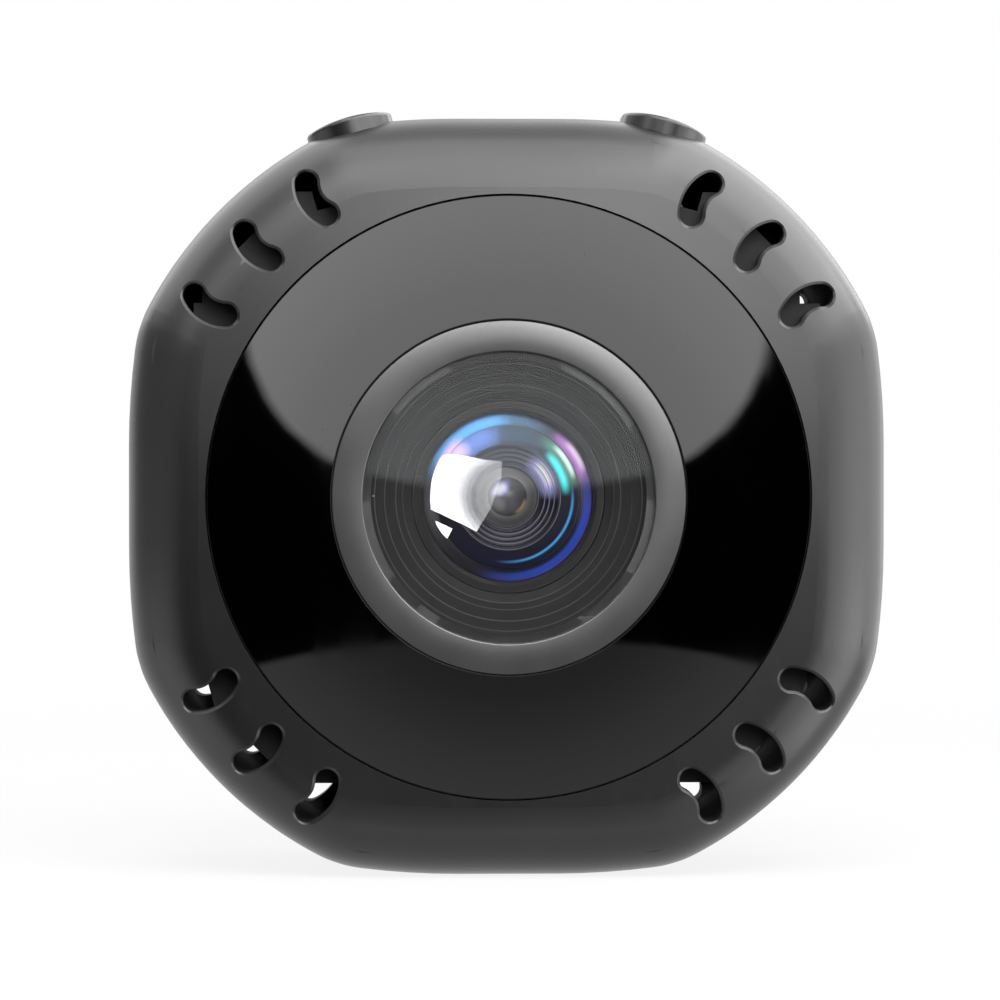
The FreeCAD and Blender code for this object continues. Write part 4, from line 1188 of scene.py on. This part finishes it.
        # Coating tints set out as painted reflections and highlights, with painted shade below and a painted
        # highlight along the outer edge.
        lens["coated_shoulder"] = turning.turn("coated_shoulder", [
            (self.coat_inner, -7.06), (3.7, -7.03), (self.coat_split - 0.03, -6.98),
            (self.coat_split - 0.03, self.lens_back), (self.coat_inner, self.lens_back)],
            CoatingWithPaintedLight((0.012, 0.012, 0.018), (
                CoatTintAndPaintedLight(-70, 110, 3.7, 1.6, (0.012, 0.011, 0.03)), CoatTintAndPaintedLight(92, 55, 3.7, 1.3, (0.045, 0.08, 0.12)),
                CoatTintAndPaintedLight(126, 34, 3.8, 1.2, (0.15, 0.26, 0.66)), CoatTintAndPaintedLight(146, 22, 3.9, 0.9, (0.8, 0.6, 0.9)),
                CoatTintAndPaintedLight(34, 30, 3.98, 0.55, (0.1, 0.3, 0.23)), CoatTintAndPaintedLight(32, 18, 4.08, 0.24, (0.75, 1.0, 0.86)),
                CoatTintAndPaintedLight(26, 26, 3.46, 0.38, (0.08, 1.0, 1.0)), CoatTintAndPaintedLight(-44, 60, 3.86, 0.13, (0.08, 0.46, 1.0)),
                CoatTintAndPaintedLight(60, 190, self.coat_split, 0.07, (0.42, 0.44, 0.55)))),
            "lens_glass", ("front_lens",), 224, 35.0)
        rings = [(self.coat_inner, -7.0)]
        depth = -6.98
        for reach in (2.92, 2.64, 2.36, 2.08):
            rings += [(reach + 0.05, depth), (reach, depth + 0.05), (reach, depth + 0.1)]
            depth += 0.14
        rings += [(1.84, depth), (1.8, depth + 0.05), (1.8, self.spacer_back),
                  (self.coat_inner, self.spacer_back)]
        # Painted light on the baffle: lighter top, darker bottom, a painted violet and white highlight, and
        # painted highlights on the step edges.
        lens["stepped_baffle"] = turning.turn("stepped_baffle", rings, CoatingWithPaintedLight((0.012, 0.012, 0.016), (
            CoatTintAndPaintedLight(95, 100, 2.5, 1.5, (0.1, 0.11, 0.13)), CoatTintAndPaintedLight(-80, 90, 2.5, 1.5, (0.022, 0.02, 0.03)),
            CoatTintAndPaintedLight(30, 36, 2.5, 0.8, (0.5, 0.5, 1.0)), CoatTintAndPaintedLight(32, 22, 2.6, 0.45, (1.0, 1.0, 1.0)),
            *(CoatTintAndPaintedLight(60, 200, reach, 0.06, (0.2, 0.2, 0.25)) for reach in (3.14, 2.78, 2.5, 2.22, 1.84)))),
            "barrel_black", ("lens_spacer",), 192, 20.0)
        flat = self.spacer_back
        turn = math.degrees(math.acos(self.bead / self.bead_ball))
        ball = arc((0.0, flat - self.bead_rise + self.bead_ball), self.bead_ball, 270, 360 - turn, 24)
        # Painted light on the bead: a painted white highlight with a violet glow, a painted warm reflection,
        # and lighter and darker patches by side.
        lens["beaded_glass"] = turning.turn("beaded_glass", [
            *ball, (self.bead, flat - 0.2), (self.second_edge, flat), (self.second_edge, self.second_back),
            (0.0, self.second_back)],
            CoatingWithPaintedLight((0.13, 0.13, 0.135), (
                CoatTintAndPaintedLight(0, 200, 1.55, 0.5, (0.06, 0.06, 0.065)), CoatTintAndPaintedLight(-85, 70, 0.85, 0.7, (0.16, 0.16, 0.17)),
                CoatTintAndPaintedLight(205, 66, 0.75, 0.75, (0.32, 0.32, 0.33)), CoatTintAndPaintedLight(128, 62, 0.66, 0.62, (0.4, 0.38, 0.9)),
                CoatTintAndPaintedLight(135, 48, 0.66, 0.46, (1.0, 1.0, 1.0)), CoatTintAndPaintedLight(-36, 34, 1.06, 0.16, (0.85, 0.55, 0.3)))),
            "lens_glass", ("second_lens",), 160, 35.0)
        return lens


@dataclass
class Lamps(Assembly):
    """Infrared lamps on their board behind the panel."""

    carried: dict[str, Finish] = field(default_factory=lambda: {
        "led_board": Laminate((0.01, 0.012, 0.012)),
        "light_sensor": Moulded((0.03, 0.03, 0.035), 0.3),
        "led_ribbon": Foil((0.32, 0.15, 0.03), 0.1, 0.35, 2.5, 0.02),
    })
    circle: float = 12.3
    radius: float = 1.5
    front: float = -8.8
    back: float = -7.8
    dome: float = 1.9
    dome_sweep: float = 42.0
    shoulder: float = 0.62
    foot: float = 0.12
    foot_inset: float = 0.1
    count: int = 6

    def build(self, tools: Tools) -> dict[str, bpy.types.Object]:
        """Set the domed lamps on their circle.

        Args:
            tools: Trees that shape the pieces.

        Returns:
            Nothing that needs light of its own.
        """
        step = 2 * math.pi / self.count
        places = [(self.circle * MM * math.cos(step * (k + 0.5)), 0.0,
                   AXIS_HEIGHT + self.circle * MM * math.sin(step * (k + 0.5))) for k in range(self.count)]
        dome = arc((0.0, self.front + self.dome), self.dome, 270, 270 + self.dome_sweep, 8)
        base = [(self.radius, self.front + self.shoulder), (self.radius, self.back - self.foot),
                (self.radius - self.foot_inset, self.back), (0.0, self.back)]
        tools.repeat.spread("lamp_set", lathe_mesh("lamp_one", [*dome, *base], 32), places, -step,
                            Moulded((0.05, 0.045, 0.06), 0.12, 0.6), "lamp_clear", ("ir_leds",))
        return {}


@dataclass
class Chassis(Assembly):
    """Inner tray with its screws, the microphone and the antenna."""

    carried: dict[str, Finish] = field(default_factory=lambda: {
        "mid_frame": Moulded((0.014, 0.014, 0.015), 0.5, 0.4, 0.2, 0.006),
        "frame_screws": Metal((0.3, 0.3, 0.31), 0.32),
        "mic_capsule": Metal((0.6, 0.6, 0.6), 0.3, (1.0, 1.0, 0.1)),
        "mic_boot": Moulded((0.012, 0.012, 0.012), 0.75, 0.3, 0.3, 0.004),
        "wifi_antenna": Laminate((0.012, 0.012, 0.012), (0.62, 0.36, 0.14), 0.9),
    })


@dataclass
class Electronics(Assembly):
    """Main board with its chips and sockets."""

    carried: dict[str, Finish] = field(default_factory=lambda: {
        "main_board": Laminate((0.008, 0.045, 0.022)),
        "processor_chip": Moulded((0.018, 0.018, 0.019), 0.5, 0.5, 0.1, 0.006),
        "wifi_module": Metal((0.62, 0.63, 0.62), 0.35),
        "usb_shell": Metal((0.55, 0.56, 0.57), 0.3, (1.0, 0.08, 0.3)),
        "usb_tongue": Moulded((0.015, 0.015, 0.016), 0.4),
        "card_socket": Metal((0.6, 0.6, 0.58), 0.32, (0.1, 1.0, 1.0)),
        "status_led": Moulded((0.7, 0.68, 0.6), 0.3),
    })


@dataclass
class Power(Assembly):
    """Battery with its tape, connector and leads."""

    carried: dict[str, Finish] = field(default_factory=lambda: {
        "battery": Foil((0.5, 0.51, 0.53)),
        "battery_tape": Foil((0.03, 0.03, 0.03), 0.0, 0.7, 1.2, 0.01),
        "battery_connector": Moulded((0.7, 0.68, 0.62), 0.45),
        "battery_lead_red": Moulded((0.45, 0.012, 0.01), 0.4, 0.5, 0.3, 0.002),
        "battery_lead_black": Moulded((0.012, 0.012, 0.012), 0.4, 0.5, 0.3, 0.002),
    })


@dataclass
class Keys(Assembly):
    """Two push buttons and the switches under them."""

    carried: dict[str, Finish] = field(default_factory=lambda: {
        "right_button": Gloss((0.022, 0.022, 0.023), 0.24),
        "left_button": Gloss((0.021, 0.021, 0.022), 0.24),
        "right_switch_plunger": Moulded((0.6, 0.58, 0.52), 0.4),
        "left_switch_plunger": Moulded((0.6, 0.58, 0.52), 0.4),
        "right_switch_body": Metal((0.58, 0.58, 0.57), 0.3),
        "left_switch_body": Metal((0.58, 0.58, 0.57), 0.3),
        "right_switch_flex": Foil((0.32, 0.15, 0.03), 0.1, 0.35, 2.5, 0.01),
        "left_switch_flex": Foil((0.32, 0.15, 0.03), 0.1, 0.35, 2.5, 0.01),
    })


class Reach(Enum):
    """What a lamp lights: mirroring surfaces, matt surfaces or both."""

    GLOSS = "gloss"
    MATT = "matt"
    BOTH = "both"


@dataclass
class Softbox:
    """Rectangular lamp on a sphere round the camera, placed by two angles and facing its middle."""

    name: str
    off_axis: float
    turn: float
    size: tuple[float, float]
    radiance: float
    reach: Reach = Reach.GLOSS
    radius: float = 350.0

    def build(self) -> bpy.types.Object:
        """Make the lamp, with the power that gives its radiance."""
        data = bpy.data.lights.new(self.name, "AREA")
        data.shape = "RECTANGLE"
        data.size, data.size_y = (side * MM for side in self.size)
        data.energy = self.radiance * math.pi * data.size * data.size_y
        lamp = placed(self.name, data)
        off, turn = math.radians(self.off_axis), math.radians(self.turn)
        way = Vector((math.sin(off) * math.cos(turn), -math.cos(off), math.sin(off) * math.sin(turn)))
        away = (Vector((0.0, 1.0, 0.0)) - way * way.y).normalized()
        lamp.matrix_world = (Matrix.Translation(Studio.MIDDLE + way * self.radius * MM)
                             @ Matrix((away.cross(way), away, way)).transposed().to_4x4())
        lamp.visible_diffuse = self.reach is not Reach.GLOSS
        lamp.visible_glossy = self.reach is not Reach.MATT
        return lamp


def link_light(lamp: bpy.types.Object, pieces: Sequence[bpy.types.Object], state: str) -> None:
    """Let a lamp or card light only some pieces, or all but those.

    Args:
        lamp: Lamp or glowing card.
        pieces: The pieces in question.
        state: INCLUDE or EXCLUDE.
    """
    group = bpy.data.collections.new(lamp.name + "_" + state.lower())
    for piece in pieces:
        group.objects.link(piece)
    lamp.light_linking.receiver_collection = group
    for member in group.collection_objects:
        member.light_linking.link_state = state


@dataclass(frozen=True)
class LampRing:
    """Softboxes of one size at one angle off the lens axis, as (name, turn, radiance)."""

    name: str
    off_axis: float
    size: Spot
    lamps: tuple[tuple[str, float, float], ...]

    def softboxes(self) -> list[Softbox]:
        """The softboxes in order."""
        return [Softbox("%s_%s" % (self.name, place), self.off_axis, turn, self.size, radiance)
                for place, turn, radiance in self.lamps]


@dataclass
class Studio:
    """Camera, floor, lamps, reflecting cards and black flags."""

    MIDDLE = Vector((0.0, FACE_MM * MM, AXIS_HEIGHT))

    distance: float = 260.0
    camera_x: float = -7.9
    camera_z: float = 3.6
    focus_depth: float = 4.3
    frame_width: float = 59.6
    aim_x: float = -0.42
    aim_z: float = -0.2
    card_ahead: float = 400.0
    window_inner: float = 4.5
    window_outer: float = 28.0
    far_share: float = 0.94
    backdrop: float = 0.45
    floor_half: float = 0.2
    floor_clear: float = 0.09
    floor_glow: float = 0.86
    ring_edge: float = 10.0
    panel_edge: float = 19.0
    rings: tuple[LampRing, ...] = (
        LampRing("near", 11, (80, 60), (("upper_right", 45, 3.3), ("upper", 90, 1.9))),
        LampRing("low", 25, (150, 110), (
            ("upper_right", 45, 5.8), ("upper", 90, 5.6), ("upper_left", 135, 2.0))),
        LampRing("mid", 47, (270, 170), (
            ("right", 10, 1.6), ("upper_right", 50, 4.3), ("upper", 90, 4.3), ("upper_left", 130, 2.6))),
        LampRing("mid", 50, (230, 190), (("lower_right", -30, 1.8),)),
        LampRing("side", 75, (290, 190), (
            ("right", 10, 2.1), ("upper_right", 50, 6.1), ("upper", 90, 3.3), ("upper_left", 130, 1.0))),
        LampRing("side", 80, (230, 190), (("lower_right", -25, 2.8), ("lower_left", 205, 0.5))),
        LampRing("over", 104, (290, 190), (
            ("right", 10, 1.6), ("upper_right", 50, 5.0), ("upper", 90, 0.4), ("upper_left", 130, 2.4))),
        LampRing("back", 135, (230, 190), (
            ("right", 0, 0.8), ("upper_right", 50, 2.5), ("upper", 90, 0.8), ("upper_left", 130, 1.5))),
    )
    fills: tuple[Softbox, ...] = (
        Softbox("low_front", 42, 272, (300, 200), 0.75),
        Softbox("plain_front", 52, 80, (300, 220), 3.4, Reach.MATT),
    )

    def build(self, lens: dict[str, bpy.types.Object]) -> None:
        """Set up the whole studio.

        Args:
            lens: Glass and coated pieces by name, which have lamps and cards of their own.
        """
        self.camera()
        self.world()
        self.floor()
        glass = [lens["domed_glass"], lens["clear_window"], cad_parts["front_panel"]]
        for softbox in (*(lamp for ring in self.rings for lamp in ring.softboxes()), *self.fills):
            link_light(softbox.build(), glass, "EXCLUDE")
        self.flags()
        self.panel_cards(lens)
        self.lens_cards(lens)

    def camera(self) -> None:
        """Place the camera a little to the left of the lens axis and above it."""
        data = bpy.data.cameras.new("view")
        data.sensor_fit = "HORIZONTAL"
        data.angle = 2.0 * math.atan(self.frame_width / 2.0 / self.distance)
        data.clip_start = 0.005
        camera = placed("view", data)
        middle = self.MIDDLE + Vector((0.0, self.focus_depth * MM, 0.0))
        camera.location = middle + Vector((self.camera_x, -self.distance, self.camera_z)) * MM
        aim = middle + Vector((self.aim_x, 0.0, self.aim_z)) * MM
        camera.rotation_euler = (aim - camera.location).to_track_quat("-Z", "Y").to_euler()
        bpy.context.scene.camera = camera

    def seen(self, graph: Graph) -> Signal:
        """Whether a camera, glossy or transmission ray looks, from 0 to 1."""
        path = graph.node("ShaderNodeLightPath")
        return (graph.out(path, "Is Camera Ray") + graph.out(path, "Is Glossy Ray")
                + graph.out(path, "Is Transmission Ray")).clamped()

    def world(self) -> None:
        """White backdrop for camera, glossy and transmission rays, soft grey light for the rest."""
        world = bpy.data.worlds.new("studio")
        world.use_nodes = True
        bpy.context.scene.world = world
        world.node_tree.nodes.clear()
        graph = Graph(world.node_tree)
        level = self.backdrop + self.seen(graph) * (1.0 - self.backdrop)
        back = graph.node("ShaderNodeBackground", None, {"Color": WHITE, "Strength": level})
        graph.wire(graph.node("ShaderNodeOutputWorld").inputs[0], back.outputs[0])

    def floor(self) -> None:
        """Pale floor that keeps the camera's shadow and fades into the white backdrop.

        Mirroring surfaces don't see it, so that the cards below it reach the lens.
        """
        shader = Shader("floor_pale")
        glow = shader.emission(self.seen(shader) * self.floor_glow)
        tone = shader.blend(shader.noise(60.0) * 0.1, (0.2, 0.2, 0.2), (0.22, 0.22, 0.22))
        matt = shader.node("ShaderNodeBsdfDiffuse", None, {"Color": tone})
        both = shader.node("ShaderNodeAddShader", None, {0: glow.outputs[0], 1: matt.outputs[0]})
        x, y, _ = shader.axes()
        half = self.floor_half
        away = shader.math("SQRT", x * x + y * y).step(self.floor_clear, half)
        gone = shader.node("ShaderNodeBsdfTransparent")
        faded = shader.node("ShaderNodeMixShader", None, {0: away, 1: both.outputs[0], 2: gone.outputs[0]})
        corners = [(-half, -half, 0.0), (half, -half, 0.0), (half, half, 0.0), (-half, half, 0.0)]
        floor = self.sheet("floor", corners, shader.finish(faded), shown=True)
        floor.visible_glossy = floor.visible_shadow = False

    def sheet(self, name: str, corners: Sequence[Point], material: bpy.types.Material,
              faces: Sequence[tuple[int, ...]] = (), shown: bool = False) -> bpy.types.Object:
        """Flat stage piece from its corners in metres.

        Args:
            name: Name of the sheet.
            corners: Its corners in order.
            material: What it is made of.
            faces: Its faces by corner number, or none for one face on all the corners.
            shown: Whether the camera and matt surfaces see it.

        Returns:
            The sheet.
        """
        mesh = bpy.data.meshes.new(name)
        mesh.from_pydata(list(corners), [], list(faces) or [tuple(range(len(corners)))])
        mesh.materials.append(material)
        sheet = placed(name, mesh)
        sheet.visible_camera = sheet.visible_diffuse = sheet.visible_shadow = shown
        return sheet

    def glow(self, name: str, radiance: float) -> bpy.types.Material:
        """Plain emitting material."""
        shader = Shader(name)
        return shader.finish(shader.emission(radiance))

    def flags(self) -> None:
        """Hang a black cloth behind the viewpoint and a dim grey one at the left."""
        half, near, left, low, high, back = 0.9, -0.75, -0.4, -0.02, 0.7, 0.3
        self.sheet("front_flag", [(-half, near, -half), (half, near, -half), (half, near, half),
                                  (-half, near, half)], self.glow("front_cloth", 0.0))
        self.sheet("left_flag", [(left, near, low), (left, back, low), (left, back, high),
                                 (left, near, high)], self.glow("left_cloth", 0.35))

    def soft_card(self, name: str, outline: Sequence[Spot], fade: float, radiance: float,
                  middle_share: float) -> bpy.types.Object:
        """Card that the flat panel mirrors, with a soft edge and a light that rises away from the lens axis.

        Args:
            name: Name of the card.
            outline: Middle of its soft edge as the panel shows it, in millimetres from the lens axis.
            fade: Half the width of that edge.
            radiance: Light at the panel's border.
            middle_share: Share of that light near the ring.

        Returns:
            The card.
        """
        centre = (sum(x for x, _ in outline) / len(outline), sum(z for _, z in outline) / len(outline))

        def moved(way: float) -> list[Point]:
            """Outline shifted away from its middle or towards it."""
            spots = []
            for x, z in outline:
                far = math.hypot(x - centre[0], z - centre[1])
                spots.append((x + way * (x - centre[0]) / far, z + way * (z - centre[1]) / far))
            return self.on_panel(spots)

        shader = Shader(name + "_glow")
        level = shader.out(shader.node("ShaderNodeAttribute", {"attribute_name": "level"}), "Fac")
        (x0, _, z0), (x1, _, _) = self.on_panel([(0.0, 0.0), (1.0, 0.0)])
        reach, _ = shader.polar(x0, z0)
        grown = x1 - x0
        rise = reach.step(self.ring_edge * grown, self.panel_edge * grown)
        share = middle_share + rise * (1.0 - middle_share)
        material = shader.finish(shader.emission(level * share * radiance))
        count = len(outline)
        ring = [(k, (k + 1) % count, count + (k + 1) % count, count + k) for k in range(count)]
        card = self.sheet(name, [*moved(-fade), *moved(fade)], material, [tuple(range(count)), *ring])
        values = card.data.attributes.new("level", "FLOAT", "POINT")
        for k in range(2 * count):
            values.data[k].value = 1.0 if k < count else 0.0
        return card

    def on_panel(self, outline: Sequence[Spot]) -> list[Point]:
        """Points of a card that the flat panel mirrors at given places.

        Args:
            outline: Places on the panel, in millimetres from the lens axis to the right and up.

        Returns:
            Points far in front, in metres.
        """
        ahead = self.card_ahead * MM
        grow = 1.0 + ahead / ((self.distance - self.focus_depth) * MM)
        shift_x = -self.camera_x * MM * ahead / (self.distance * MM)
        shift_z = -self.camera_z * MM * ahead / (self.distance * MM)
        return [(x * MM * grow + shift_x, FACE_MM * MM - ahead, AXIS_HEIGHT + z * MM * grow + shift_z)
                for x, z in outline]

    def panel_cards(self, lens: dict[str, bpy.types.Object]) -> None:
        """Hang the two cards that the flat panel mirrors above and below the lens.

        Args:
            lens: Glass and coated pieces by name.
        """
        mirrors = [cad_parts["front_panel"], lens["clear_window"]]
        half = [(4.7, 0.71), (8.0, 1.3), (10.47, 2.19), (11.12, 2.6), (12.75, 3.96), (13.49, 4.85),
                (14.08, 5.74), (15.0, 7.8), (15.42, 9.6), (15.6, 13.0), (15.6, 21.0)]
        upper = [*((-x, z) for x, z in reversed(half)), (0.0, 0.47), *half]
        link_light(self.soft_card("panel_card", upper, 0.35, 4.4, 0.75), mirrors, "INCLUDE")
        half = [(4.5, -8.35), (9.0, -8.75), (12.0, -9.2), (15.0, -9.95), (19.0, -11.6), (19.5, -21.0)]
        lower = [*((-x, z) for x, z in reversed(half)), (0.0, -8.3), *half]
        link_light(self.soft_card("lower_card", lower, 0.5, 0.85, 0.42), mirrors, "INCLUDE")

    def on_dome(self, outline: Sequence[Spot]) -> list[Point]:
        """Points of a card that the domed glass mirrors at places given in millimetres from its axis.

        Args:
            outline: Places on the dome, from the axis to the right and up.

        Returns:
            Points far in front, in metres.
        """
        rays = []
        dome, apex = Optics.dome, Optics.apex()
        eye = Vector((self.camera_x, self.focus_depth + FACE_MM - self.distance, self.camera_z))
        for x, z in outline:
            back = math.sqrt(dome ** 2 - x * x - z * z)
            normal = Vector((x, -back, z)) / dome
            spot = Vector((x, apex + dome - back, z))
            look = (spot - eye).normalized()
            rays.append((spot, look - normal * 2.0 * look.dot(normal)))
        points = [(spot + way * self.card_ahead * self.far_share) * MM for spot, way in rays]
        return [(point.x, point.y, AXIS_HEIGHT + point.z) for point in points]

    def lens_cards(self, lens: dict[str, bpy.types.Object]) -> None:
        """Hang the bright window that the domed glass mirrors, and the small lamp for the coated rings.

        Args:
            lens: Glass and coated pieces by name.
        """
        pane = [(-4.3, 2.45), (-3.55, 2.53), (-2.9, 2.47), (-1.45, 2.22), (-0.36, 2.1), (-0.42, 1.1),
                (-1.02, -0.66), (-1.87, -2.04), (-2.6, -1.64), (-3.67, -1.13), (-4.7, -0.66), (-4.82, 0.0),
                (-4.78, 0.9), (-4.6, 1.75)]
        corner = [(-4.34, -1.39), (-3.3, -1.87), (-3.6, -2.47), (-4.0, -2.05)]
        shader = Shader("window_glow")
        (x0, _, z0), (x1, _, _), (x2, _, _) = self.on_dome([(0.0, 0.0), (-1.9, 0.0), (-3.8, 0.0)])
        reach, _ = shader.polar(x0, z0)
        level = self.window_inner + reach.step(x0 - x1, x0 - x2) * (self.window_outer - self.window_inner)
        light = shader.finish(shader.emission(level))
        for name, outline in (("window_pane", pane), ("window_corner", corner)):
            link_light(self.sheet(name, self.on_dome(outline), light), [lens["domed_glass"]], "INCLUDE")
        inner = [piece for name, piece in lens.items() if name not in ("domed_glass", "clear_window")]
        lamp = Softbox("coating_lamp", 14, 75, (90, 90), 28.0, Reach.BOTH).build()
        link_light(lamp, inner, "INCLUDE")


def main() -> None:
    """Build, dress and light the whole camera."""
    logging.basicConfig(level=logging.INFO, format="%(name)s %(message)s")
    tools = Tools(Turning(), Repeat())
    assemblies = (Housing(), Optics(), Lamps(), Chassis(), Electronics(), Power(), Keys())
    lens: dict[str, bpy.types.Object] = {}
    for assembly in assemblies:
        lens.update(assembly.build(tools))
    for assembly in assemblies:
        assembly.dress()
    Studio().build(lens)
    bpy.context.scene.view_settings.view_transform = "Standard"


if __name__ == "__main__":
    main()
